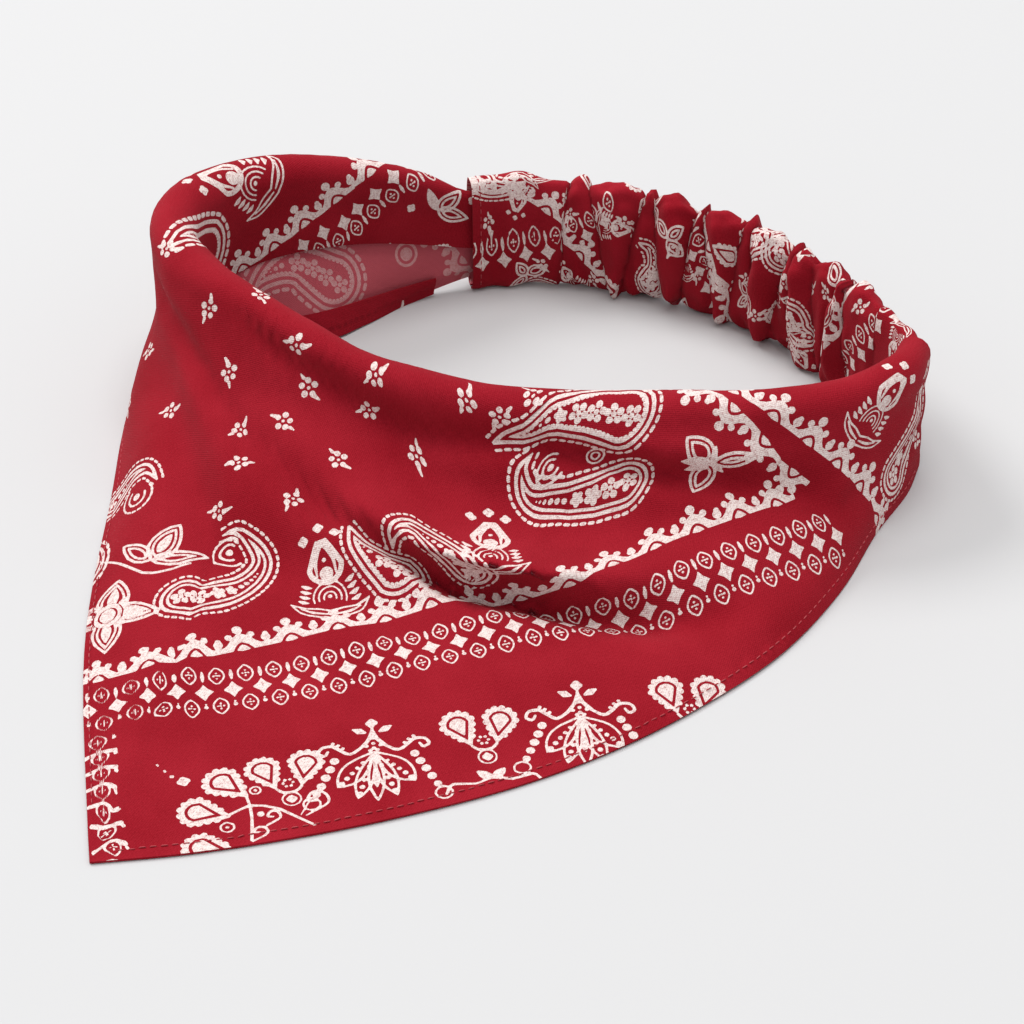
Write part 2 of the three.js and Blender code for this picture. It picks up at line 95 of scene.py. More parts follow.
# Finer creases on top of those: section, how far down the wall, how far out, half width, and how
# far a ridge leans down the wall for each mm that it stands out.
CREASES = [
    # the trough under the roll, across the middle of the front
    np.array([(8.4, .03, 0, 5, 0), (9.4, .055, -1.6, 5, 0), (10.4, .075, -2.8, 5, 0),
              (11.5, .105, -3.6, 6, 0), (12.6, .14, -3.8, 6, 0), (13.5, .145, -3.2, 5, 0),
              (14.3, .145, -3.4, 4.5, 0), (15.1, .18, -4.6, 4.8, 0), (15.9, .245, -5.6, 4.8, 0),
              (16.5, .29, -4.8, 4.8, 0), (17.1, .35, -4.2, 5.5, 0), (17.7, .47, -3.6, 6, 0),
              (18.4, .66, -2.4, 6, 0), (19.4, .78, 0, 6, 0)]),
    np.array([(13.8, .08, 0, 6, 0), (14.8, .10, 1.6, 6, .4), (15.8, .16, 2.4, 6, .5),
              (16.8, .24, 1.4, 6, .3), (17.6, .34, 0, 6, 0)]),
    # the soft crease from the notch at the left down to the pinch, and the swell beside it
    np.array([(6.6, .33, 0, 5, 0), (7.5, .313, -3.4, 4.5, 0), (8.0, .305, -3.6, 4.5, 0),
              (8.9, .265, -2.8, 5, 0), (9.6, .26, -2.2, 5.5, 0), (10.4, .27, -2.0, 6, 0),
              (11.2, .33, -2.4, 6, 0), (12.2, .39, 0, 6, 0)]),
    np.array([(7.0, .20, 0, 7, 0), (7.8, .20, 2.2, 8, .2), (8.8, .17, 2.2, 8, .2),
              (10.0, .17, 1.6, 9, .1), (11.4, .22, 1.4, 9, 0), (12.6, .28, 0, 9, 0)]),
    # the pinch low on the front: its floor, the fold that hangs over it and the lip below
    np.array([(10.8, .31, 0, 6, 0), (12.0, .385, -4.0, 5, 0), (12.8, .435, -8.6, 4.6, .1),
              (13.3, .485, -10.8, 4.3, .1), (13.8, .52, -11.2, 4.2, .1), (14.2, .545, -10.6, 4.2, .1),
              (14.7, .58, -8.2, 4.6, 0), (15.3, .635, -5.2, 5, 0), (16.1, .74, -2.2, 6, 0),
              (17.0, .8, 0, 6, 0)]),
    np.array([(11.2, .30, 0, 8, 0), (12.3, .34, 3.0, 7, .6), (13.2, .395, 5.6, 5.8, 1.1),
              (13.8, .435, 6.4, 5.5, 1.2), (14.3, .47, 6.2, 5.5, 1.2), (15.0, .53, 4.2, 6, .9),
              (15.9, .62, 1.6, 8, .3), (16.8, .7, 0, 8, 0)]),
    np.array([(12.0, .50, 0, 6, 0), (13.3, .585, 2.0, 5.5, -.3), (14.0, .625, 2.4, 5.5, -.3),
              (14.8, .67, 1.6, 5.5, 0), (15.9, .74, 0, 6, 0)]),
    # soft dents and swells low on the front
    np.array([(10.3, .62, 0, 12, 0), (11.2, .66, -0.9, 12, 0), (12.4, .72, -0.5, 14, 0),
              (13.2, .80, 0.8, 12, 0), (14.2, .86, -0.9, 10, 0), (15.4, .84, 0, 12, 0)]),
    # round the left side and the back, where the wall is drawn up to the seam
    np.array([(0, .30, -0.6, 4, 0), (1.5, .34, -1.1, 5, 0), (3.2, .36, -0.6, 5, 0),
              (5.0, .38, -0.6, 5, 0), (6.4, .44, -0.5, 6, 0), (7.6, .52, 0, 7, 0)]),
    np.array([(0, .68, -0.5, 4, 0), (1.4, .70, -1.0, 4.5, 0), (2.8, .76, -0.9, 5, 0),
              (4.4, .84, 0, 6, 0)]),
    np.array([(0, .12, -0.7, 2.4, 0), (1.2, .15, -1.2, 2.8, 0), (2.6, .20, -0.9, 3.6, 0),
              (3.8, .24, 0, 4, 0)]),
    np.array([(0, .48, -0.8, 2.4, 0), (1.2, .46, -1.2, 2.8, 0), (2.4, .41, -0.5, 3.6, 0),
              (3.4, .38, 0, 4.5, 0)]),
    np.array([(0, .84, -0.7, 2.2, 0), (1.3, .86, -1.2, 2.8, 0), (2.8, .88, 0, 4, 0)]),
    np.array([(3.0, .16, 0, 5, 0), (4.2, .18, 1.0, 6, 0), (5.6, .22, 1.2, 7, 0), (7.0, .26, 0, 7, 0)]),
    # gathered into the seam at the right
    np.array([(18.6, .30, 0, 5, 0), (19.6, .34, -1.5, 5, 0), (20.5, .38, -1.6, 4, 0),
              (21, .38, -0.7, 3.5, 0)]),
    np.array([(18.9, .72, 0, 5, 0), (19.8, .70, -1.3, 4.5, 0), (20.6, .68, -1.2, 3.5, 0),
              (21, .68, -0.5, 3, 0)]),
    # inside, on the strip that the roll turns in
    np.array([(1.0, -.55, -0.8, 4, 0), (3.0, -.60, -1.0, 6, 0), (5.0, -.50, 0.8, 8, 0),
              (7.0, -.62, -0.9, 8, 0), (8.6, -.5, 0, 8, 0)]),
    np.array([(2.0, -.96, 0, 7, 0), (3.4, -.96, 1.3, 8, 0), (5.2, -.96, 1.3, 8, 0),
              (6.6, -.96, 0, 7, 0)]),
]


def spline(table, place):
    """The rows of a table, joined by a smooth curve, at places counted in rows."""
    last = len(table) - 1
    place = np.clip(place, 0, last)
    i = np.minimum(place.astype(int), last - 1)
    f = (place - i)[..., None]
    b, c = table[i], table[i + 1]
    a = np.where((i > 0)[..., None], table[np.maximum(i - 1, 0)], 2 * b - c)
    d = np.where((i + 2 <= last)[..., None], table[np.minimum(i + 2, last)], 2 * c - b)
    return 0.5 * (2 * b + (c - a) * f + (2 * a - 5 * b + 4 * c - d) * f ** 2
                  + (3 * b - a - 3 * c + d) * f ** 3)


def section_at(place):
    section = spline(SECTIONS, place)
    left = spline(SECTIONS[:TIP_ROW + 1], place)
    right = spline(SECTIONS[TIP_ROW:], place - TIP_ROW)
    # the hem turns a corner at the tip, so each side of it is a curve of its own
    section[..., 3:6] = np.where((place <= TIP_ROW)[..., None], left, right)[..., 3:6]
    return section


def outward_at(place):
    step = 0.01
    ahead = spline(SECTIONS, np.minimum(place + step, LAST_ROW))
    behind = spline(SECTIONS, np.maximum(place - step, 0))
    out = np.stack([ahead[..., 1] - behind[..., 1], behind[..., 0] - ahead[..., 0],
                    np.zeros_like(place)], -1)
    return out / np.linalg.norm(out, axis=-1, keepdims=True)


UP = np.array([0.0, 0.0, 1.0])


def kerchief_points(place, depth, cloth=CLOTH):
    """Middle of the cloth. depth is -1 at the facing's edge, 0 on top of the roll, 1 at the hem."""
    place, depth = np.broadcast_arrays(np.asarray(place, float), np.asarray(depth, float))
    k = section_at(place)
    crest, roll, facing, lean = k[..., :3], k[..., 6:7], k[..., 7:8], k[..., 8:9]
    steep, lie = np.radians(k[..., 9:10]), np.radians(k[..., 10:11])
    top_reach, hem_reach = k[..., 11:12], k[..., 12:13]
    out = outward_at(place)
    depth = depth[..., None]
    centre = crest - roll * UP

    def on_roll(angle):
        return centre + out * roll * np.sin(angle) + UP * roll * np.cos(angle)

    walked = -depth * facing
    quarter = roll * np.pi / 2
    share = np.clip((walked - quarter) / (facing - quarter), 0, 1)
    facing_points = np.where(
        walked <= quarter,
        on_roll(-np.clip(walked / roll, 0, np.pi / 2)),
        on_roll(-np.pi / 2) + out * lean * share ** 2 - UP * (facing - quarter) * share)

    start = on_roll(steep)
    hem = np.concatenate([k[..., 3:5], k[..., 5:6] + cloth / 2 * np.cos(lie)], -1)
    span = np.linalg.norm(hem - start, axis=-1, keepdims=True)
    rolled = roll * steep / (roll * steep + span)
    level = (hem - start) * (1 - UP)
    leaving = start + top_reach * span * (out * np.cos(steep) - UP * np.sin(steep))
    landing = hem - level * hem_reach * np.cos(lie) + UP * hem_reach * span * np.sin(lie)
    w = np.clip((depth - rolled) / (1 - rolled), 0, 1)
    fall = ((1 - w) ** 3 * start + 3 * w * (1 - w) ** 2 * leaving
            + 3 * w ** 2 * (1 - w) * landing + w ** 3 * hem)
    wall_points = np.where(depth <= rolled, on_roll(np.clip(depth / rolled, 0, 1) * steep), fall)
    return np.where(depth < 0, facing_points, wall_points)


def grid_normals(grid, closed=False):
    if closed:
        wide = np.concatenate([grid[:, -1:], grid, grid[:, :1]], 1)
        down = wide[:, 2:] - wide[:, :-2]
    else:
        down = np.gradient(grid, axis=1)
    normals = np.cross(down, np.gradient(grid, axis=0))
    return normals / np.maximum(np.linalg.norm(normals, axis=-1, keepdims=True), 1e-9)


def smooth_between(rows, place, column):
    """Values of a fold's column, eased from row to row."""
    i = np.clip(np.searchsorted(rows[:, 0], place), 1, len(rows) - 1)
    f = np.clip((place - rows[i - 1, 0]) / (rows[i, 0] - rows[i - 1, 0]), 0, 1)
    if column != 1:
        f = f * f * (3 - 2 * f)
    return rows[i - 1, column] * (1 - f) + rows[i, column] * f


def ripple(places, depths, seed, count, longest, shortest):
    """A sum of waves that stays between about -1 and 1, the same on each run."""
    draw = np.random.default_rng(seed)
    total = np.zeros(np.broadcast(places, depths).shape)
    for _ in range(count):
        size = draw.uniform(shortest, longest)
        angle = draw.uniform(0, 2 * math.pi)
        start = draw.uniform(0, 2 * math.pi)
        across = places * math.cos(angle) + depths * math.sin(angle)
        total += np.sin(2 * math.pi * across / size + start)
    return total / math.sqrt(count * 2)


HEM_WIDTH, HEM_RISE = 4.0, 0.3        # the doubled edge along the hem
UNEVEN = 0.45                         # how far the cloth strays from its smooth form
MM_PER_SECTION = 17.0


def kerchief_grid(places, depths, creased=True):
    """Middle of the cloth with its folds, one row of points for each place."""
    grid = kerchief_points(places[:, None], depths[None, :])
    normals = grid_normals(grid)
    walls = kerchief_points(places[:, None], np.linspace(0, 1, 25)[None, :])
    lengths = np.linalg.norm(np.diff(walls, axis=1), axis=-1).sum(1)[:, None]
    facings = spline(SECTIONS, places)[:, 7:8]
    down_mm = depths[None, :] * np.where(depths[None, :] < 0, facings, lengths)
    out = np.zeros(grid.shape[:2])
    for rows in FOLDS:
        down = smooth_between(rows, places, 1)[:, None]
        wide = smooth_between(rows, places, 3)[:, None]
        away = (depths[None, :] - down) * lengths / wide
        out += smooth_between(rows, places, 2)[:, None] * np.exp(-away ** 2)
    out = np.where(depths[None, :] > 0, out, 0)
    if not creased:
        return grid + normals * out[..., None]
    slide = np.zeros_like(out)
    for rows in CREASES:
        down, far, wide, lean = (smooth_between(rows, places, k)[:, None] for k in (1, 2, 3, 4))
        centre = down * np.where(down < 0, facings, lengths)
        rise = far * np.exp(-((down_mm - centre) / wide) ** 2)
        out += rise
        slide += rise * lean
    free = np.clip((lengths - down_mm) / 12.0, 0, 1) * np.clip(down_mm / 10.0 + 2.0, 0, 1)
    seams = np.clip(np.minimum(places, LAST_ROW - places) / 1.2, 0, 1)[:, None]
    along_mm = places[:, None] * MM_PER_SECTION
    out += UNEVEN * ripple(along_mm, down_mm, 7, 9, 70, 28) * free * seams
    out += 0.16 * UNEVEN * ripple(along_mm, down_mm, 8, 9, 16, 7) * free * seams
    out += HEM_RISE * np.clip((down_mm - lengths + HEM_WIDTH) / 0.7, 0, 1)
    tangent = np.gradient(grid, axis=1)
    tangent /= np.maximum(np.linalg.norm(tangent, axis=-1, keepdims=True), 1e-9)
    return grid + normals * out[..., None] + tangent * slide[..., None]


# camera, light and floor

CAMERA_TILT = 37.0         # degrees above the table
CAMERA_DISTANCE = 722.0
FOCAL_PIXELS = 2600.0      # focal length in pixels of the 1024 x 1024 picture
PICTURE = 1024.0


def place_of_model():
    """Where the sections' own zero lies in the frame."""
    places = np.linspace(0, LAST_ROW, LAST_ROW * 4 + 1)
    depths = np.concatenate([-np.arange(6, 0, -1) / 6, (np.arange(19) / 18) ** 1.35])
    grid = kerchief_points(places[:, None], depths[None, :], CAD_CLOTH)
    outer = grid + grid_normals(grid) * CAD_CLOTH / 2
    inner = grid - grid_normals(grid) * CAD_CLOTH / 2
    low = np.minimum(outer.reshape(-1, 3).min(0), inner.reshape(-1, 3).min(0))
    frame_low = np.array(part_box("kerchief")[0]) / MM
    return np.array([frame_low[0] - low[0], frame_low[1] - low[1], 0.0])


ORIGIN = place_of_model()


def to_metres(points):
    return (np.asarray(points) + ORIGIN) * MM


def make_camera():
    data = bpy.data.cameras.new("camera")
    camera = bpy.data.objects.new("camera", data)
    bpy.context.collection.objects.link(camera)
    tilt = math.radians(CAMERA_TILT)
    eye = np.array([0, -math.cos(tilt), math.sin(tilt)]) * CAMERA_DISTANCE
    camera.location = Vector(to_metres(eye))
    camera.rotation_euler = (math.pi / 2 - tilt, 0, 0)
    data.sensor_width = 36.0
    data.lens = FOCAL_PIXELS / PICTURE * data.sensor_width
    data.clip_start = 0.01
    data.clip_end = 20.0
    bpy.context.scene.camera = camera


def make_light():
    bpy.context.scene.view_settings.view_transform = "Standard"
    world = bpy.data.worlds.new("studio")
    bpy.context.scene.world = world
    world.use_nodes = True
    sky = world.node_tree.nodes["Background"]
    sky.inputs["Color"].default_value = (0.98, 0.985, 1.0, 1)
    sky.inputs["Strength"].default_value = 0.74
    lamps = (
        # name, place, size, power in watts
        ("window", (-2.3, 1.7, 2.9), 1.7, 88.0),
        ("ceiling", (0.1, 0.3, 3.0), 2.0, 52.0),
    )
    for name, place, size, power in lamps:
        data = bpy.data.lights.new(name, "AREA")
        data.shape = "DISK"
        data.size = size
        data.energy = power
        lamp = bpy.data.objects.new(name, data)
        lamp.location = place
        lamp.rotation_euler = (-Vector(place)).to_track_quat("-Z", "Y").to_euler()
        bpy.context.collection.objects.link(lamp)


def make_floor():
    half = 3.0
    mesh = bpy.data.meshes.new("floor")
    corners = [(-half, -half, 0), (half, -half, 0), (half, half, 0), (-half, half, 0)]
    mesh.from_pydata(corners, [], [(0, 1, 2, 3)])
    floor = bpy.data.objects.new("floor", mesh)
    bpy.context.collection.objects.link(floor)
    material = bpy.data.materials.new("floor")
    material.use_nodes = True
    shader = material.node_tree.nodes["Principled BSDF"]
    shader.inputs["Base Color"].default_value = (0.535, 0.533, 0.533, 1)
    shader.inputs["Roughness"].default_value = 0.9
    shader.inputs["Specular IOR Level"].default_value = 0.1
    mesh.materials.append(material)


make_camera()
make_light()
make_floor()


# flat cloth

FLAT_COLUMNS = 10          # columns on the wall, and as many on the strip inside, while laid flat
CREASE_PLACES = np.linspace(0, LAST_ROW, 211)
CREASE_DEPTHS = np.linspace(-1, 1, 401)


def grid_lengths(grid, axis):
    """Running length along one way of a grid of points."""
    steps = np.linalg.norm(np.diff(grid, axis=axis), axis=-1)
    pad = [(1, 0), (0, 0)] if axis == 0 else [(0, 0), (1, 0)]
    return np.pad(np.cumsum(steps, axis=axis), pad)


def resampled(table, places):
    """A table's rows, whatever their shape, joined by smooth curves at places counted in rows."""
    return spline(table.reshape(len(table), -1), places).reshape(len(places), *table.shape[1:])


def laid_flat(grid, rounds=60):
    """Where a grid of cloth lay before it was worn, with as little stretch as its shape allows.

    Each triangle is turned to fit the layout as it stands, and then the points settle between
    their triangles; this is done again and again.
    """
    rows, columns = grid.shape[:2]
    number = np.arange(rows * columns).reshape(rows, columns)
    corners = number[:-1, :-1], number[1:, :-1], number[1:, 1:], number[:-1, 1:]
    triangles = np.concatenate([
        np.stack([corners[k].ravel() for k in pick], -1) for pick in ((0, 1, 2), (0, 2, 3))])
    points = grid.reshape(-1, 3)
    a, b, c = (points[triangles[:, k]] for k in range(3))
    along = np.linalg.norm(b - a, axis=1)
    reach = ((c - a) * (b - a)).sum(1) / along
    height = np.linalg.norm(np.cross(b - a, c - a), axis=1) / along
    zero = np.zeros(len(along))
    # each triangle's own true shape, seen from outside
    shape = np.stack([np.stack([zero, zero], -1), np.stack([along, zero], -1),
                      np.stack([reach, -height], -1)], 1)
    sides = ((0, 1, 2), (1, 2, 0), (2, 0, 1))
    weights = []
    matrix = np.zeros((len(points), len(points)))
    for i, j, k in sides:
        p, q = shape[:, i] - shape[:, k], shape[:, j] - shape[:, k]
        across = np.abs(p[:, 0] * q[:, 1] - p[:, 1] * q[:, 0])
        weight = np.maximum((p * q).sum(1) / across, 0.1)
        weights.append(weight)
        m, n = triangles[:, i], triangles[:, j]
        for u, v, w in ((m, m, weight), (n, n, weight), (m, n, -weight), (n, m, -weight)):
            np.add.at(matrix, (u, v), w)
    matrix[0, 0] += 1
    inverse = np.linalg.inv(matrix)
    top = int(np.argmax(grid[rows // 2, :, 2]))
    flat = np.stack([np.repeat(grid_lengths(grid, 0)[:, top], columns),
                     -grid_lengths(grid, 1).ravel()], -1)
    for _ in range(rounds):
        sine, cosine = zero.copy(), zero.copy()
        for (i, j, _k), weight in zip(sides, weights):
            now = flat[triangles[:, i]] - flat[triangles[:, j]]
            true = shape[:, i] - shape[:, j]
            cosine += weight * (now * true).sum(1)
            sine += weight * (now[:, 1] * true[:, 0] - now[:, 0] * true[:, 1])
        size = np.hypot(sine, cosine)
        sine, cosine = sine / size, cosine / size
        pull = np.zeros_like(flat)
        for (i, j, _k), weight in zip(sides, weights):
            true = shape[:, i] - shape[:, j]
            turned = np.stack([cosine * true[:, 0] - sine * true[:, 1],
                               sine * true[:, 0] + cosine * true[:, 1]], -1) * weight[:, None]
            np.add.at(pull, triangles[:, i], turned)
            np.add.at(pull, triangles[:, j], -turned)
        flat = inverse @ pull
    return flat.reshape(rows, columns, 2)


def flat_sections():
    """The kerchief's cut at two places a section: mm along the right hem, and mm up from it."""
    places = np.linspace(0, LAST_ROW, LAST_ROW * 2 + 1)
    flat = laid_flat(kerchief_grid(places, np.linspace(-1, 1, FLAT_COLUMNS * 2 + 1), False))
    tip = flat[TIP_ROW * 2, -1]
    along = flat[(LAST_ROW - 4) * 2, -1] - tip
    along /= np.linalg.norm(along)
    flat = flat - tip
    return np.stack([flat @ along, flat @ np.array([-along[1], along[0]])], -1)


def flat_kerchief(sections, places, depths):
    """Places on the kerchief's cut, moved up from the hem by the cloth that its creases take."""
    fine = resampled(sections, places * 2)
    flat = resampled(fine.swapaxes(0, 1), (depths + 1) * FLAT_COLUMNS).swapaxes(0, 1)
    creased = grid_lengths(kerchief_grid(CREASE_PLACES, CREASE_DEPTHS), 1)
    smooth = grid_lengths(kerchief_grid(CREASE_PLACES, CREASE_DEPTHS, False), 1)
    taken = (creased[:, -1:] - creased) - (smooth[:, -1:] - smooth)
    rows = places[:, None] / LAST_ROW * (len(CREASE_PLACES) - 1) + 0 * depths
    columns = (depths + 1) / 2 * (len(CREASE_DEPTHS) - 1) + 0 * rows
    taken = bilinear(taken, rows, columns)
    up = -np.gradient(flat, axis=1)
    up /= np.maximum(np.linalg.norm(up, axis=-1, keepdims=True), 1e-9)
    return flat + up * taken[..., None]


def turned_edge_grid(places, depths):
    """The strip of the kerchief that is turned up inside, from the wall's own points."""
    grid = kerchief_grid(places, depths)
    inward = -grid_normals(grid).mean(1, keepdims=True)
    inward /= np.linalg.norm(inward, axis=-1, keepdims=True)
    return grid + inward * TURN_UP_IN


# casing

CASING = np.array([
    # x, y, low, high, half thick, square
    (108.9, 15.6, 1.2, 40.6, 2.3, 4.0),
    (111.1, 22.0, 1.0, 40.4, 2.3, 4.0),
    (110.6, 32.0, 0.9, 38.6, 3.0, 3.0),
    (105.5, 45.0, 0.8, 37.4, 3.2, 2.6),
    (98.0, 59.0, 0.7, 36.6, 2.8, 2.6),
    (89.5, 72.5, 0.7, 36.4, 2.6, 2.6),
    (79.5, 85.5, 0.7, 36.2, 2.6, 2.6),
    (67.5, 96.5, 0.7, 36.2, 2.6, 2.6),
    (53.5, 105.8, 0.7, 36.2, 2.6, 2.6),
    (37.5, 113.0, 0.7, 36.4, 2.8, 2.6),
    (20.0, 118.0, 0.7, 37.0, 3.2, 2.8),
    (4.0, 119.6, 0.7, 38.0, 3.4, 3.4),
    (-6.0, 118.7, 0.7, 38.4, 3.75, 4.0),
    (-13.0, 116.95, 0.7, 38.4, 3.85, 4.0),
])
# Valleys between ruffles: place along the casing in mm, depth, and how far the top leans
GATHERS = np.array([
    (29, 0.45, 3.0), (44, 0.95, 4.0), (53, 1.00, -3.0), (60, 0.70, 3.5), (70, 1.00, 1.0),
    (77, 0.85, -3.5), (87, 1.00, 2.5), (94, 0.65, -2.0), (103, 1.00, 3.5), (111, 0.95, -2.5),
    (121, 0.75, 2.5), (130, 1.00, -3.5), (140, 0.75, 4.0), (152, 0.90, -1.5),
])
RUFFLE_OUT, RUFFLE_RISE, RUFFLE_LIFT, RUFFLE_SWAY = 3.2, 1.9, 2.1, 1.3
RUFFLE_ROUND = 0.75
WRINKLE = 0.72             # fine wrinkles on the ruffles, in mm
MARKS_PER_ROW = 20


def casing_marks():
    """Places in rows along the casing's middle line, and their distances in mm."""
    last = len(CASING) - 1
    places = np.linspace(0, last, last * MARKS_PER_ROW + 1)
    line = spline(CASING, places)[:, :2]
    return places, np.concatenate([[0], np.cumsum(np.linalg.norm(np.diff(line, axis=0), axis=1))])


CASING_PLACES, CASING_MM = casing_marks()
CASING_LENGTH = CASING_MM[-1]


def casing_line(mm):
    """Rows of the casing's table at distances along it, and the level way out of the ring."""
    place = np.interp(mm, CASING_MM, CASING_PLACES)
    step = 0.02
    last = len(CASING) - 1
    way = spline(CASING, np.minimum(place + step, last)) - spline(CASING, np.maximum(place - step, 0))
    out = np.stack([way[..., 1], -way[..., 0]], -1)
    return spline(CASING, place), out / np.linalg.norm(out, axis=-1, keepdims=True)


def ruffles(mm, upward):
    """How full the cloth is between two gathers, which side it leans to, and how drawn it is."""
    places = GATHERS[:, 0] + GATHERS[:, 2] * upward[:, None]
    full = np.zeros((len(mm), len(upward)))
    side, drawn = full.copy(), full.copy()
    for column, marks in enumerate(places):
        i = np.clip(np.searchsorted(marks, mm, side="right"), 1, len(marks) - 1)
        share = (mm - marks[i - 1]) / (marks[i] - marks[i - 1])
        inside = (share >= 0) & (share <= 1)
        tight = GATHERS[i - 1, 1] + (GATHERS[i, 1] - GATHERS[i - 1, 1]) * np.clip(share, 0, 1)
        tight = np.where(inside, tight, 0)
        drawn[:, column] = tight
        full[:, column] = tight * np.sin(np.pi * np.clip(share, 0, 1)) ** RUFFLE_ROUND
        side[:, column] = np.where(i % 2 == 1, 1, -1)
    return full, side, drawn


def casing_grid(mm, turns):
    """Middle of the casing's cloth: turns are angles round it, from the outside over the top."""
    line, out = casing_line(mm)
    x, y, low, high, thick, square = (line[:, k:k + 1] for k in range(6))
    power = 2 / square
    across = np.sign(np.cos(turns)) * np.abs(np.cos(turns)) ** power
    upward = np.sign(np.sin(turns)) * np.abs(np.sin(turns)) ** power
    full, side, drawn = ruffles(mm, np.sin(turns))
    top = high + RUFFLE_RISE * (2 * full - drawn)
    bottom = low + RUFFLE_LIFT * (drawn - full)
    wrinkled = ripple(mm[:, None], 14.0 * turns[None, :] + 60, 5, 7, 9, 3.5) * WRINKLE * drawn
    wrinkled += ripple(mm[:, None], 9.0 * turns[None, :], 6, 6, 26, 12) * WRINKLE * 1.4
    calm = np.clip(np.minimum(mm, CASING_LENGTH - mm) / 9, 0, 1)[:, None]
    wrinkled = wrinkled * calm
    away = across * (thick + RUFFLE_OUT * full + wrinkled) + RUFFLE_SWAY * full * side
    height = (top + bottom) / 2 + ((top - bottom) / 2 + wrinkled * np.abs(upward)) * upward
    return np.stack([x + out[:, :1] * away, y + out[:, 1:] * away, height], -1)


# print

GRAIN = 0.25               # mm between samples of the print
REACH = 1.2                # how far from its edge the ink's distance is kept, in mm


def smooth_curve(points, per_span=12):
    points = np.asarray(points, float)
    return spline(points, np.linspace(0, len(points) - 1, (len(points) - 1) * per_span + 1))


def walk(points, step, start=0.0, end=0.0):
    """Places at equal steps along a curve, and the way it runs there in degrees."""
    curve = smooth_curve(points)
    lengths = np.concatenate([[0], np.cumsum(np.linalg.norm(np.diff(curve, axis=0), axis=1))])
    count = int((lengths[-1] - start - end) / step) + 1
    marks = start + step * np.arange(count)
    half = step / 4
    at = np.stack([np.interp(marks, lengths, curve[:, k]) for k in (0, 1)], -1)
    ahead = np.stack([np.interp(marks + half, lengths, curve[:, k]) for k in (0, 1)], -1)
    behind = np.stack([np.interp(marks - half, lengths, curve[:, k]) for k in (0, 1)], -1)
    way = ahead - behind
    return list(zip(at, np.degrees(np.arctan2(way[:, 1], way[:, 0]))))


class Print:
    """Ink on flat cloth, held as the distance in mm to the ink's edge, plus inside the ink."""

    def __init__(self, low, high):
        self.low = np.array(low, float)
        size = np.ceil((np.array(high) - self.low) / GRAIN).astype(int) + 1
        self.field = np.full(size, -REACH)

    def stamp(self, low, high, distance, cut=False):
        first = np.maximum(np.floor((low - REACH - self.low) / GRAIN).astype(int), 0)
        last = np.ceil((high + REACH - self.low) / GRAIN).astype(int) + 1
        last = np.minimum(last, self.field.shape)
        if (last <= first).any():
            return
        x = self.low[0] + GRAIN * np.arange(first[0], last[0])[:, None]
        y = self.low[1] + GRAIN * np.arange(first[1], last[1])[None, :]
        part = self.field[first[0]:last[0], first[1]:last[1]]
        if cut:
            np.minimum(part, -distance(x, y), out=part)
        else:
            np.maximum(part, distance(x, y), out=part)

    def at(self, flat):
        """The ink's distance at places on the flat cloth."""
        place = (flat - self.low) / GRAIN
        return bilinear(self.field, place[..., 0], place[..., 1])


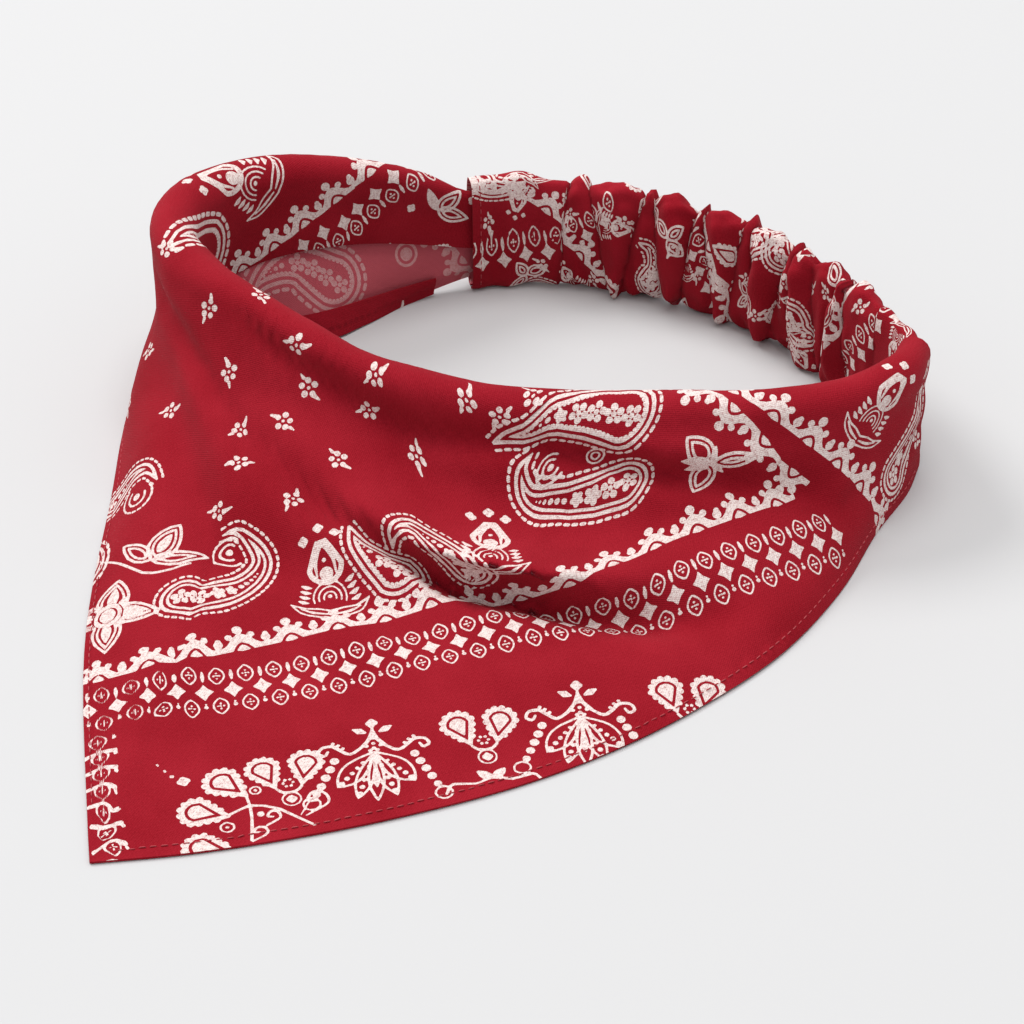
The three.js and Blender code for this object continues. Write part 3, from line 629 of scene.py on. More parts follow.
class Pen:
    """Draws on a print in a motif's own frame: x to its right, y up, in mm."""

    def __init__(self, sheet, at=(0, 0), turn=0.0, size=1.0, mirror=False):
        self.sheet, self.size, self.mirror = sheet, size, mirror
        angle = math.radians(turn)
        self.place = np.array(at, float)
        self.turned = np.array([[math.cos(angle), math.sin(angle)],
                                [-math.sin(angle), math.cos(angle)]])

    def to(self, points):
        points = np.asarray(points, float) * self.size
        if self.mirror:
            points = points * (-1, 1)
        return points @ self.turned + self.place

    def stroke(self, points, widths, cut=False):
        """A line through points. Widths are shared out evenly from its start to its end."""
        line = self.to(points)
        widths = np.atleast_1d(widths)
        shares = np.linspace(0, len(widths) - 1, len(line))
        radii = np.interp(shares, np.arange(len(widths)), widths) / 2 * self.size
        for a, b, ra, rb in zip(line[:-1], line[1:], radii[:-1], radii[1:]):
            way = b - a
            length = max(float(way @ way), 1e-9)
            wide = max(ra, rb)

            def distance(x, y):
                share = np.clip(((x - a[0]) * way[0] + (y - a[1]) * way[1]) / length, 0, 1)
                off = np.hypot(x - a[0] - share * way[0], y - a[1] - share * way[1])
                return ra + (rb - ra) * share - off

            self.sheet.stamp(np.minimum(a, b) - wide, np.maximum(a, b) + wide, distance, cut)

    def curve(self, points, widths, cut=False, per_span=8):
        self.stroke(smooth_curve(points, per_span), widths, cut)

    def dot(self, x, y, radius, cut=False):
        at = self.to([(x, y)])[0]
        size = radius * self.size
        self.sheet.stamp(at - size, at + size,
                         lambda u, v: size - np.hypot(u - at[0], v - at[1]), cut)

    def ring(self, x, y, radius, width):
        at = self.to([(x, y)])[0]
        size, half = radius * self.size, width * self.size / 2
        self.sheet.stamp(at - size - half, at + size + half,
                         lambda u, v: half - np.abs(np.hypot(u - at[0], v - at[1]) - size))

    def shape(self, points, bands=((0, None),), cut=False):
        """Ink in bands inside a closed outline, each from one depth inside it to another."""
        outline = self.to(points)
        after = np.roll(outline, -1, axis=0)

        def inside(x, y):
            nearest = np.full(np.broadcast(x, y).shape, np.inf)
            odd = np.zeros(nearest.shape, bool)
            for a, b in zip(outline, after):
                way = b - a
                length = max(float(way @ way), 1e-9)
                share = np.clip(((x - a[0]) * way[0] + (y - a[1]) * way[1]) / length, 0, 1)
                off = (x - a[0] - share * way[0]) ** 2 + (y - a[1] - share * way[1]) ** 2
                np.minimum(nearest, off, out=nearest)
                if a[1] != b[1]:
                    crosses = ((a[1] > y) != (b[1] > y)) & (x < way[0] * (y - a[1]) / way[1] + a[0])
                    odd ^= crosses
            return np.sqrt(nearest) * np.where(odd, 1, -1)

        def banded(x, y):
            depth = inside(x, y)
            ink = np.full(depth.shape, -REACH)
            for start, stop in bands:
                band = depth - start * self.size
                if stop is not None:
                    band = np.minimum(band, stop * self.size - depth)
                np.maximum(ink, band, out=ink)
            return ink

        self.sheet.stamp(outline.min(0), outline.max(0), banded, cut)

    def beads(self, points, step, length, width, closed=False):
        """Short dashes strung along a line."""
        line = np.asarray(points, float)
        if closed:
            line = np.concatenate([line, line[:1]])
        lengths = np.concatenate([[0], np.cumsum(np.linalg.norm(np.diff(line, axis=0), axis=1))])
        count = max(1, round(lengths[-1] / step))
        for k in range(count):
            mark = (k + 0.5) / count * lengths[-1]
            ends = mark - length / 2, mark + length / 2
            dash = [[np.interp(m, lengths, line[:, c]) for c in (0, 1)] for m in ends]
            self.stroke(dash, width)


def worm(spine, radius, inset=0.0, tip=0.0):
    """The outline of a paisley: thin at the spine's start and round at its end."""
    line = smooth_curve(spine, 10)
    share = np.linspace(0, 1, len(line))
    radii = np.maximum(radius * (tip + (1 - tip) * share ** 0.85) - inset, 0)
    way = np.gradient(line, axis=0)
    way /= np.linalg.norm(way, axis=1, keepdims=True)
    side = np.stack([-way[:, 1], way[:, 0]], -1)
    keep = radii > 0
    line, radii, side, end = line[keep], radii[keep], side[keep], way[-1]
    angles = np.linspace(0, np.pi, 14)[1:-1]
    cap = (line[-1] + radii[-1] * (np.cos(angles)[:, None] * side[-1]
                                   + np.sin(angles)[:, None] * end))
    left = line + side * radii[:, None]
    right = line - side * radii[:, None]
    return np.concatenate([left, cap, right[::-1]])


def filling(pen, spine, radius, inner):
    """Small flowers down the middle of a paisley, smaller where it narrows."""
    middle = smooth_curve(spine, 10)
    share = np.linspace(0, 1, len(middle))
    room = radius * share ** 0.85 - inner
    lengths = np.concatenate([[0], np.cumsum(np.linalg.norm(np.diff(middle, axis=0), axis=1))])
    mark = lengths[-1] + max(radius - inner - 2.6, 0)
    turn = 0.0
    while mark > 0:
        x, y = (np.interp(mark, lengths, middle[:, c]) for c in (0, 1))
        if mark > lengths[-1]:
            way = middle[-1] - middle[-4]
            x, y = middle[-1] + way / np.hypot(*way) * (mark - lengths[-1])
        space = min(float(np.interp(mark, lengths, room)), 3.4)
        if space < 0.35:
            break
        if space > 1.5:
            petal_size = min(1.0, space * 0.42)
            out = min(space - petal_size * 0.7, 1.9)
            for k in range(5):
                angle = turn + k * 2 * math.pi / 5
                pen.dot(x + out * math.cos(angle), y + out * math.sin(angle), petal_size)
            pen.dot(x, y, petal_size * 0.7)
            mark -= 2 * out + petal_size + 0.3
        else:
            pen.dot(x, y, min(0.85, space * 0.85))
            mark -= 2 * min(0.85, space * 0.85) + 0.35
        turn += 0.9


def paisley(pen, spine, radius, line=0.95, gap=0.75, bead=0.95):
    """Two outlines, beads outside, teeth inside and a filling of small flowers."""
    inner = line + gap
    pen.shape(worm(spine, radius), ((0, line), (inner, inner + 0.8 * line)))
    pen.beads(worm(spine, radius, -0.85 - bead / 2, 0.05), bead * 2.2, bead, bead * 0.9)
    if radius > 7.5:
        pen.beads(worm(spine, radius, inner + line + 0.1), 1.3, 0.4, 0.7)
    filling(pen, spine, radius, inner + line + (0.8 if radius > 7.5 else 0.4))


def tear(pen, edge=0.75, length=8.0, scallops=True):
    """A drop that stands on its tip at the origin: a white middle, a red line and a white edge."""
    outline = worm([(0, 0), (0, length * 0.35), (0, length * 0.64)], length * 0.345)
    pen.shape(outline, ((0, edge), (edge + 0.5, None)))
    if scallops:
        pen.beads(outline[4:-4], 1.3, 0.1, 1.0)


def petal(length, width, blunt=0.8):
    """The outline of a petal that points up from the origin."""
    share = np.linspace(0, 1, 14)
    half = width / 2 * np.sin(np.pi * share ** blunt) ** 0.8
    side = np.stack([half, share * length], -1)
    return np.concatenate([side, (side * (-1, 1))[-2:0:-1]])


def sprig(pen):
    """A scattered sprig of six dots and two short leaves."""
    for x, y, radius in ((0, 0, 0.5), (1.6, 1.0, 0.95), (-0.3, 2.0, 0.9), (-1.9, 0.5, 0.85),
                         (-1.0, -1.6, 0.95), (1.2, -1.5, 0.85)):
        pen.dot(x, y, radius)
    pen.stroke([(2.0, -2.2), (3.2, -2.8)], (1.2, 0.7))
    pen.stroke([(-1.6, 2.6), (-2.4, 3.6)], (1.1, 0.6))


def clover(pen, x, y, size=1.0):
    for dx, dy in ((0.62, 0), (-0.62, 0), (0, 0.62), (0, -0.62)):
        pen.dot(x + dx * size, y + dy * size, 0.62 * size)


def wave_cell(pen):
    """One hump of the scalloped border, 12.6 mm long, with three knobs, then a small knob."""
    half = 6.4
    side = [(half, 1.3), (4.9, 1.3), (3.7, 2.2), (2.5, 3.7), (1.2, 4.9)]
    top = side + [(0, 5.3)] + [(-x, y) for x, y in side[::-1]]
    pen.shape(top + [(-half, -0.3), (-1.8, -0.3), (0, -0.6), (1.8, -0.3), (half, -0.3)])
    pen.curve([(-2.6, -0.8), (-1.4, 1.1), (0, 2.0), (1.4, 1.1), (2.6, -0.8)], 0.8, cut=True)
    pen.dot(-2.9, 4.6, 1.0)
    pen.dot(-0.2, 6.6, 1.35)
    pen.dot(2.9, 4.5, 1.0)
    pen.dot(half, 2.7, 1.25)
    pen.dot(half + 0.2, 3.9, 0.8)


def scalloped(sheet, line, mirror=False, start=4.0, end=3.0):
    for at, turn in walk(line, 12.6, start, end):
        wave_cell(Pen(sheet, at, turn + (180 if mirror else 0)))


def chain_link(pen, brackets=True):
    """A ring with a point at its top and foot, round five dots, and what joins it to the next."""
    angles = np.linspace(0, 2 * np.pi, 29)[:-1]
    pointed = 1 + 0.22 * np.abs(np.sin(angles)) ** 8
    pen.shape(np.stack([2.15 * np.cos(angles), 2.5 * np.sin(angles) * pointed], -1), ((0, 0.48),))
    for dx, dy in ((0.75, 0), (-0.75, 0), (0, 0.95), (0, -0.95)):
        pen.dot(dx, dy, 0.36)
    pen.dot(0, 0, 0.3)
    if brackets:
        pen.stroke([(3.65, 1.5), (3.65, 0), (3.65, -1.5)], (0.6, 1.15, 0.6))
    else:
        pen.dot(3.65, 0, 0.6)
        pen.dot(3.65, 1.1, 0.35)


def star(pen, size=2.2):
    """A four-pointed star with hollow sides."""
    tips = [(size, 0), (0, size * 1.15), (-size, 0), (0, -size * 1.15)]
    points = []
    for (x, y), (u, v) in zip(tips, tips[1:] + tips[:1]):
        points += [(x, y), ((x + u) * 0.40, (y + v) * 0.40)]
    pen.shape(points)


def chain_band(sheet, line, rows=(5.2, -5.2), stars=(0.0,), step=7.3, start=3.0, end=2.0):
    for at, turn in walk(line, step, start, end):
        pen = Pen(sheet, at, turn)
        for height in rows:
            chain_link(Pen(sheet, pen.to([(0, height)])[0], turn), height >= 0)
        for height in stars:
            star(Pen(sheet, pen.to([(step / 2, height)])[0], turn), 2.55)


def finial(pen):
    """A drop with three clovers over it, standing on a fan of leaves over a boat."""
    pen.shape(worm([(0, 8.4), (0, 4.8), (0, 1.6)], 5.0, 0, 0.30), ((0, 1.35),))
    pen.curve([(-2.5, -0.6), (-2.3, 3.4), (0, 7.0), (2.3, 3.4), (2.5, -0.6)], (0.5, 1.0, 1.1, 1.0, 0.5))
    pen.dot(0, -0.3, 1.8)
    pen.dot(0, 3.2, 0.6)
    for x, y in ((-4.6, 9.3), (-0.2, 11.6), (3.9, 9.6)):
        clover(pen, x, y, 1.15)
    for radius in (1.6, 2.9, 4.2):
        arc = [(radius * math.cos(a), -7.4 + 1.2 * radius * math.sin(a))
               for a in np.linspace(-0.35, np.pi + 0.35, 13)]
        pen.beads(arc, 0.9, 0.45, 0.5)
        pen.stroke(arc, 0.34)
    pen.dot(0, -7.0, 0.6)
    for side in (-1, 1):
        for k in range(4):
            x, y = 4.4 + 0.35 * k, -3.6 - 1.75 * k
            pen.stroke([(side * x, y), (side * (x + 1.2), y + 0.3), (side * (x + 2.3), y + 1.0)],
                       (0.5, 1.35, 0.6))
        pen.curve([(0, -12.2), (side * 3.2, -11.2), (side * 6.4, -10.8), (side * 9.8, -9.0)], (0.6, 0.5))
        pen.curve([(0, -15.0), (side * 4.0, -14.2), (side * 7.6, -12.4), (side * 9.8, -9.0)], (0.6, 0.45))
        pen.curve([(side * 0.6, -13.5), (side * 4.4, -12.7), (side * 7.6, -10.9)], (0.5, 0.9, 0.3))


def scroll(pen, side):
    """An arm of a spray: a line that ends in a curl, with small knobs on its outer edge."""
    arm = [(side * 3.2, 3.8), (side * 5.6, 2.2), (side * 7.6, 3.2), (side * 9.8, 5.2),
           (side * 12.4, 5.0), (side * 13.3, 3.1), (side * 11.8, 2.3), (side * 11.0, 3.6)]
    pen.curve(arm, (0.8, 0.9, 0.9, 0.8, 0.8, 0.7))
    for at, _turn in walk(arm, 1.5, 5.5, 7.0):
        pen.dot(at[0] + side * -0.4, at[1] + 0.9, 0.5)


def turned(points, degrees):
    angle = math.radians(degrees)
    return [(x * math.cos(angle) - y * math.sin(angle), x * math.sin(angle) + y * math.cos(angle))
            for x, y in points]


def lotus(pen):
    """A hanging fan of petals under a tent of two lines, with a small spray on top."""
    clover(pen, 0, 12.2, 1.25)
    pen.stroke([(0, 11.0), (0, 9.3)], (0.5, 0.9))
    for side in (-1, 1):
        pen.stroke([(side * 1.8, 9.2), (side * 3.2, 9.8), (side * 4.6, 10.5)], (0.8, 2.1, 0.7))
        pen.curve([(0, 9.4), (side * 1.2, 6.4), (side * 3.2, 3.8)], (1.0, 0.9))
        scroll(pen, side)
        for turn, length, width in ((40, 14.5, 6.4), (17, 16, 4.6)):
            leaf = [(x, y + 2.6) for x, y in turned(petal(length, width, 1.25), 180 + side * turn)]
            pen.shape(leaf, ((0, 0.6),))
            for k in range(5):
                at = turned([(0, length * (0.32 + 0.14 * k))], 180 + side * turn)[0]
                pen.dot(at[0], at[1] + 2.6, 0.5 + 0.07 * k)
        for k, radius in enumerate((1.15, 1.2, 1.2, 1.15, 1.0)):
            pen.dot(side * (9.6 + 1.15 * k), 0.4 - 2.6 * k, radius)
        pen.ring(side * 15.4, -13.0, 2.0, 0.5)
    pen.shape([(x, 2.6 - y) for x, y in petal(16.5, 4.2, 1.2)], ((0, 0.6),))
    pen.shape([(x, -y - 2.0) for x, y in petal(7.5, 1.9, 1.1)])
    for x, y in ((0, 7.0), (0, 5.2), (-1.7, 4.4), (1.7, 4.4), (0, 3.6), (-0.9, 2.9), (0.9, 2.9)):
        pen.dot(x, y, 0.55)


def tear_pair(pen, leaves=True):
    """Two scalloped drops that lean apart, a small rosette between them, leaves below."""
    turn = math.degrees(math.atan2(pen.turned[0, 1], pen.turned[0, 0]))
    for side in (-1, 1):
        tear(Pen(pen.sheet, pen.to([(side * 3.0, -5.2)])[0], turn - side * 17, pen.size * 1.45))
        pen.curve([(side * 3.0, -5.2), (side * 1.8, -6.4), (0, -6.8)], 0.75)
    for k in range(6):
        angle = k * math.pi / 3
        pen.dot(1.2 * math.cos(angle), -3.6 + 1.2 * math.sin(angle), 0.45)
    clover(pen, 0, -9.0, 1.1)
    pen.ring(0, -9.0, 2.2, 0.45)
    if not leaves:
        return
    for side in (-1, 1):
        pen.shape([(x, y - 16.4) for x, y in turned(petal(4.8, 2.6), -side * 48)])
    pen.curve([(-11.5, -19.5), (-9.6, -16.6), (-4.5, -17.4), (0, -16.0), (4.5, -17.4),
               (9.6, -16.6), (11.5, -19.5)], 0.75)


def petals(pen, parts):
    """Petals round the origin: each has a length, a width and a turn from upright."""
    for length, width, turn in parts:
        bands = ((0, 0.85), (1.45, 2.15)) if width > 3.6 else ((0, None),)
        pen.shape(turned(petal(length, width), turn), bands)
        if width > 7.5:
            pen.shape(turned([(x, y + 3.2) for x, y in petal(length * 0.5, width * 0.34)], turn))


# The print's layout on the kerchief's cut: mm along the right hem from the tip, and mm up from it
FRONT_SCALLOP = [(-4, 66), (14, 62.5), (39, 59), (66, 57.5), (94, 54.5), (118, 52), (140, 49.5),
                 (159, 46.5), (172, 43), (188, 39.5), (213, 36)]
SIDE_SCALLOP = [(217, 36), (211, 48), (208, 60), (204, 73), (197, 90), (189, 108)]
NEXT_SCALLOP = [(227, 0), (232, 14), (230.5, 24), (225, 36), (220.5, 46), (215, 58), (209, 70),
                (202, 86), (195, 102)]
BACK_SCALLOP = [(130, 212), (119, 231), (112, 244), (107, 251), (99, 259), (89, 266), (78, 272),
                (64, 282), (48, 296), (34, 308)]
FRONT_BAND = [(-2, 54.5), (14, 51.5), (40, 47), (62, 43.5), (90, 40.5), (114, 37), (140, 33.5),
              (165, 28), (186, 25.5), (209, 21.5), (218, 20)]
LEFT_CHAIN = [(11.5, 41), (10, 33), (8, 24), (6.5, 16), (5.5, 8), (5, -2)]
BACK_CHAIN = [(112, 262), (104, 268), (96, 276), (86, 281), (76, 285), (62, 294), (48, 306)]
SPRIGS = [
    # along, up, turn
    (84, 189, 20), (85, 165, 80), (100, 160, 150), (106, 141, 10), (124, 124, 60), (49, 180, 200),
    (81, 146, 120), (100, 129, 330), (114, 116, 40), (152, 118, 90), (158, 112, 250),
    (56, 150, 30), (90, 124, 170), (125, 105, 300), (77, 129, 75), (73, 117, 210),
    (100, 106, 340), (83, 100, 100), (62, 107, 20),
    # inside the roll, round the left and at the right end
    (118, 160, 40), (132, 147, 200), (150, 128, 90), (168, 112, 310), (214, 86, 30),
    (232, 78, 160), (250, 72, 280), (264, 44, 60), (262, 20, 190), (70, 214, 130), (45, 205, 20),
    (66, 240, 270), (58, 262, 45), (24, 205, 160), (36, 170, 310), (112, 188, 220),
]


def corner_spray(sheet):
    """The spray in the corner at the tip: three drops on stems, with curls between them."""
    for at, turn in (((40.5, 8.5), 33), ((35, 3.6), 60), ((33, -8), 62)):
        tear(Pen(sheet, at, turn, 1.6))
    pen = Pen(sheet)
    pen.curve([(40, 9), (39.5, 3), (37, -6)], 0.7)
    pen.curve([(34.5, 4.5), (40, 5.6), (45, 3.2), (49, -1.5), (52, -6)], 0.7)
    for x, y, radius in ((42.5, 10.2, 1.3), (33, 0.6, 1.6)):
        pen.ring(x, y, radius, 0.5)
        pen.dot(x, y, 0.5)
    for x, y, size in ((44, 0.8, 1.5), (39.6, -3.4, 1.6), (55, 2.6, 2.5)):
        curl = [(x - 1.5 * size, y - 1.8 * size), (x + 0.9 * size, y - 0.9 * size),
                (x + size, y + 0.5 * size), (x, y + size), (x - 0.8 * size, y + 0.1 * size),
                (x, y - 0.3 * size)]
        pen.curve(curl, (0.5, 0.7, 0.7, 0.6))
    for x, y, angle in ((47.6, 0.6, -0.6), (51.6, 0.4, 0.7)):
        reach = 2.2
        pen.stroke([(x - reach * math.sin(angle), y - reach * math.cos(angle)),
                    (x + reach * math.sin(angle), y + reach * math.cos(angle))], (0.4, 1.5, 0.4))
    pen.dot(41.5, 2.2, 0.9)
    clover(pen, 27.5, 19, 1.35)
    for x, y, radius in ((25.3, 21.6, 0.6), (23.9, 23.4, 0.5), (22.2, 25, 0.45)):
        pen.dot(x, y, radius)


def curl_of_beads(pen, x, y, size, start, turn):
    """A dot inside an open ring of beads, where a paisley's tail curls in."""
    pen.dot(x, y, 0.42 * size)
    for radius, gap in ((size, 0.5), (size * 1.75, 0.36)):
        for angle in np.arange(start, start + turn, gap):
            a, b = angle - gap * 0.26, angle + gap * 0.26
            pen.stroke([(x + radius * math.cos(a), y + radius * math.sin(a)),
                        (x + radius * math.cos(b), y + radius * math.sin(b))], 0.8)


def kerchief_print():
    sheet = Print((-8, -26), (292, 332))
    pen = Pen(sheet)
    scalloped(sheet, FRONT_SCALLOP, start=8.4, end=8.0)
    scalloped(sheet, SIDE_SCALLOP, start=9.0)
    scalloped(sheet, NEXT_SCALLOP, mirror=True, start=3.0)
    scalloped(sheet, BACK_SCALLOP[::-1], mirror=True)
    chain_band(sheet, FRONT_BAND)
    for at, turn in walk(LEFT_CHAIN, 6.6, 1.5, 0.0):
        edge = Pen(sheet, at, turn + 90)
        chain_link(edge, brackets=False)
        edge.curve([(-3.3, -5.2), (-0.9, -4.3), (0.9, -4.3), (3.3, -5.2)], (1.6, 0.7, 1.6))
    chain_band(sheet, BACK_CHAIN, rows=(0.0,), stars=(4.8,))
    for along, up, turn in SPRIGS:
        sprig(Pen(sheet, (along, up), turn))
    # the panel's own paisleys, each from its tail to its round head
    paisley(pen, [(60, 100.5), (66.5, 97), (68.5, 88), (61, 81), (52, 78.5), (44, 80)], 6.4)
    curl_of_beads(pen, 60.5, 93.5, 2.6, 0.8, 4.4)
    paisley(pen, [(94.5, 87), (94, 79), (96.5, 73), (100, 67.5)], 7.6)
    paisley(pen, [(103, 76), (107.5, 82.5), (114.5, 83.5), (120, 76), (122, 66)], 5.6)
    paisley(pen, [(150, 106), (158, 105.5), (167, 102), (175, 95.5), (181.5, 87.5)], 9.2, 1.15, 0.85, 1.15)
    paisley(pen, [(159, 98), (153.5, 96), (151, 89), (154.5, 80), (163, 72.5), (171, 68.5)], 6.8,
            1.05, 0.75, 1.1)
    curl_of_beads(pen, 158.5, 88.5, 2.3, 0.6, 4.6)
    for radius in (1.2, 2.5):
        pen.ring(169.5, 82, radius, 0.6)
    paisley(pen, [(4, 130), (11, 122), (18, 112)], 9.0, 1.1, 0.9, 1.4)
    paisley(pen, [(48, 126), (45.5, 133), (38, 135.5), (30, 133)], 4.6)
    curl_of_beads(pen, 40.5, 125, 3.0, 2.2, 4.4)
    paisley(pen, [(266, 38), (260, 31), (253, 26), (245, 21)], 6.2)
    paisley(pen, [(84, 188), (92, 197), (100, 207), (107, 218)], 13.5, 1.2, 1.2, 1.5)
    paisley(pen, [(30, 230), (38, 238), (40, 249), (33, 260)], 9.5, 1.2, 1.0, 1.4)
    paisley(pen, [(26, 192), (36, 192), (40, 200), (35, 210)], 6.5)
    # standing motifs
    finial(Pen(sheet, (83, 76), -15, 1.06))
    finial(Pen(sheet, (134, 79), -26, 1.05))
    finial(Pen(sheet, (243, 47), -62, 0.92))
    finial(Pen(sheet, (84, 232), 163, 1.1))
    # flowers
    petals(Pen(sheet, (24, 85)), ((13, 10.4, -27), (15, 7.6, -113), (14.5, 9.0, 165), (12, 9.4, 66)))
    petals(Pen(sheet, (24, 85)), ((8, 2.2, -64), (7.5, 2.2, -84), (7.5, 2.2, -146), (7, 2.2, -160)))
    pen.dot(24, 85, 4.6, cut=True)
    pen.dot(24, 85, 4.2)
    pen.dot(24, 85, 3.0, cut=True)
    pen.dot(24, 85, 2.4)
    petals(Pen(sheet, (193, 58)), ((11, 7.4, 12), (11.5, 7.2, 124), (13.5, 4.8, -112)))
    petals(Pen(sheet, (193, 58)), ((9, 3.2, 50), (8, 2.8, 76), (5, 1.8, -42), (5, 1.8, -164)))
    petals(Pen(sheet, (39.5, 98)), ((12.5, 6.4, 30), (15, 9.0, -48), (16, 5.6, -106)))
    pen.curve([(25, 110), (31, 103), (37.5, 94), (49, 92)], (0.5, 0.9, 0.7))
    petals(Pen(sheet, (76, 300)), ((11, 6, 20), (11, 6, 80), (9, 3.4, 150)))
    tear(Pen(sheet, (93, 292), -40, 1.1))
    tear(Pen(sheet, (88, 306), 20, 1.0))
    for x, y in ((66, 307), (98, 300), (80, 292), (100, 288), (62, 301), (94, 312)):
        clover(pen, x, y, 1.3)
    pen.ring(39, 286, 3.6, 0.9)
    pen.dot(39, 286, 2.2)
    # the row along the hem
    for at, turn in (((72, 9.5), -16), ((122, 0.5), -19)):
        lotus(Pen(sheet, at, turn))
    for at, turn, leaves in (((51, 13.5), -8, False), ((98.8, 8.6), -12, True),
                             ((149.5, -2.4), -22, False)):
        tear_pair(Pen(sheet, at, turn), leaves)
    corner_spray(sheet)
    # on the strip that is turned up inside
    for x, y, turn in ((16, 205, 0), (19.5, 238, 60), (21.5, 262, 130), (23.5, 284, 200)):
        sprig(Pen(sheet, (x, y), turn))
    pen.curve([(13, 216), (16, 219), (14, 223), (18, 226), (16, 230)], 0.8)
    return sheet


def casing_print():
    """The strip's own cut through the same print, with its borders running aslant."""
    sheet = Print((-4, -4), (320, 96))
    for line, mirror in (([(150, 100), (166, 66), (186, 30), (204, -6)], False),
                         ([(20, -6), (40, 24), (58, 56), (84, 100)], True),
                         ([(240, 100), (262, 70), (290, 50), (324, 44)], True)):
        scalloped(sheet, line, mirror)
    for line in ([(164, 100), (180, 66), (200, 30), (218, -6)], [(4, -6), (26, 30), (46, 60), (70, 100)],
                 [(246, 44), (270, 56), (300, 62), (324, 62)]):
        chain_band(sheet, line, rows=(0.0,), stars=(4.8,))
    # the motifs that show inside the ring, then the same ones along the outside
    for right, up in ((0, 0), (21, -42)):
        for x, y, turn in ((92, 62, 15), (136, 44, 200), (118, 80, 80), (226, 66, 140), (280, 82, 20),
                           (60, 24, 100)):
            pen = Pen(sheet, (x + right, y + up), turn, 0.86)
            paisley(pen, [(-9, 6), (-2, 7), (5, 4), (8, -3)], 6.6)
        for x, y, turn in ((108, 58, 60), (150, 66, 200), (208, 52, 20), (232, 40, 300), (292, 74, 100),
                           (76, 44, 30), (196, 84, 150), (266, 36, 10)):
            pen = Pen(sheet, (x + right, y + up), turn, 0.8)
            petals(pen, ((10, 6.4, 20), (9, 5.4, 110), (11, 6.0, 215)))
        for x, y, turn in ((128, 62, 0), (172, 50, 70), (250, 82, 160), (36, 74, 40), (100, 44, 200),
                           (214, 76, 300)):
            tear(Pen(sheet, (x + right, y + up), turn, 1.3))
        for k in range(34):
            spot = (8 + 9 * k + right, 44 + 36 * math.sin(2.4 * k) ** 2 + up)
            sprig(Pen(sheet, spot, 70 * k, 0.8))
        for k in range(12):
            spot = (20 + 25 * k + right, 48 + 30 * math.sin(1.7 * k) ** 2 + up)
            finial(Pen(sheet, spot, 130 * k, 0.6))
    return sheet


# meshes

def bilinear(field, i, j):
    """Values of a grid at fractional rows i and columns j."""
    i = np.clip(i, 0, field.shape[0] - 1.000001)
    j = np.clip(j, 0, field.shape[1] - 1.000001)
    row, column = i.astype(int), j.astype(int)
    f, g = i - row, j - column
    if field.ndim == 3:
        f, g = f[..., None], g[..., None]
    upper = field[row, column] * (1 - g) + field[row, column + 1] * g
    lower = field[row + 1, column] * (1 - g) + field[row + 1, column + 1] * g
    return upper * (1 - f) + lower * f


def crossings(ink):
    """Where the ink's edge crosses the lines of the grid, and the segments between crossings."""
    rows, columns = ink.shape
    inside = ink > 0
    points = []
    # crossings on lines that run along a row, then on lines that run down a column
    index = [np.full((rows, columns), -1), np.full((rows, columns), -1)]
    count = 0
    for axis in (0, 1):
        a = ink[:-1] if axis == 0 else ink[:, :-1]
        b = ink[1:] if axis == 0 else ink[:, 1:]
        i, j = np.nonzero((a > 0) != (b > 0))
        share = a[i, j] / (a[i, j] - b[i, j])
        points.append(np.stack([i + share * (axis == 0), j + share * (axis == 1)], -1))
        index[axis][i, j] = np.arange(len(i)) + count
        count += len(i)
    points = np.concatenate(points)
    corner = inside[:-1, :-1] + 2 * inside[1:, :-1] + 4 * inside[1:, 1:] + 8 * inside[:-1, 1:]
    sides = (
        index[0][:-1, :-1],    # from this corner to the next row
        index[1][1:, :-1],     # along the next row
        index[0][:-1, 1:],     # from the next column to the next row
        index[1][:-1, :-1],    # along this row
    )
    # which two sides of a cell are joined, for each pattern of corners inside the ink
    joins = {1: [(0, 3)], 2: [(0, 1)], 3: [(1, 3)], 4: [(1, 2)], 5: [(0, 3), (1, 2)], 6: [(0, 2)],
             7: [(2, 3)], 8: [(2, 3)], 9: [(0, 2)], 10: [(0, 1), (2, 3)], 11: [(1, 2)],
             12: [(1, 3)], 13: [(0, 1)], 14: [(0, 3)]}
    segments = []
    for pattern, pairs in joins.items():
        i, j = np.nonzero(corner == pattern)
        for p, q in pairs:
            segments.append(np.stack([sides[p][i, j], sides[q][i, j]], -1))
    return points, np.concatenate(segments)


def chains(count, segments):
    """Segments strung into runs of point numbers. A closed run ends where it began."""
    near = [[] for _ in range(count)]
    for a, b in segments.tolist():
        near[a].append(b)
        near[b].append(a)
    done = [False] * count
    runs = []
    ends = [k for k in range(count) if len(near[k]) == 1]
    for start in ends + list(range(count)):
        if done[start]:
            continue
        run = [start]
        done[start] = True
        at = start
        while True:
            after = [k for k in near[at] if not done[k]]
            if not after:
                break
            at = after[0]
            done[at] = True
            run.append(at)
        if len(run) > 2 and start in near[at]:
            run.append(start)
        runs.append(run)
    return runs


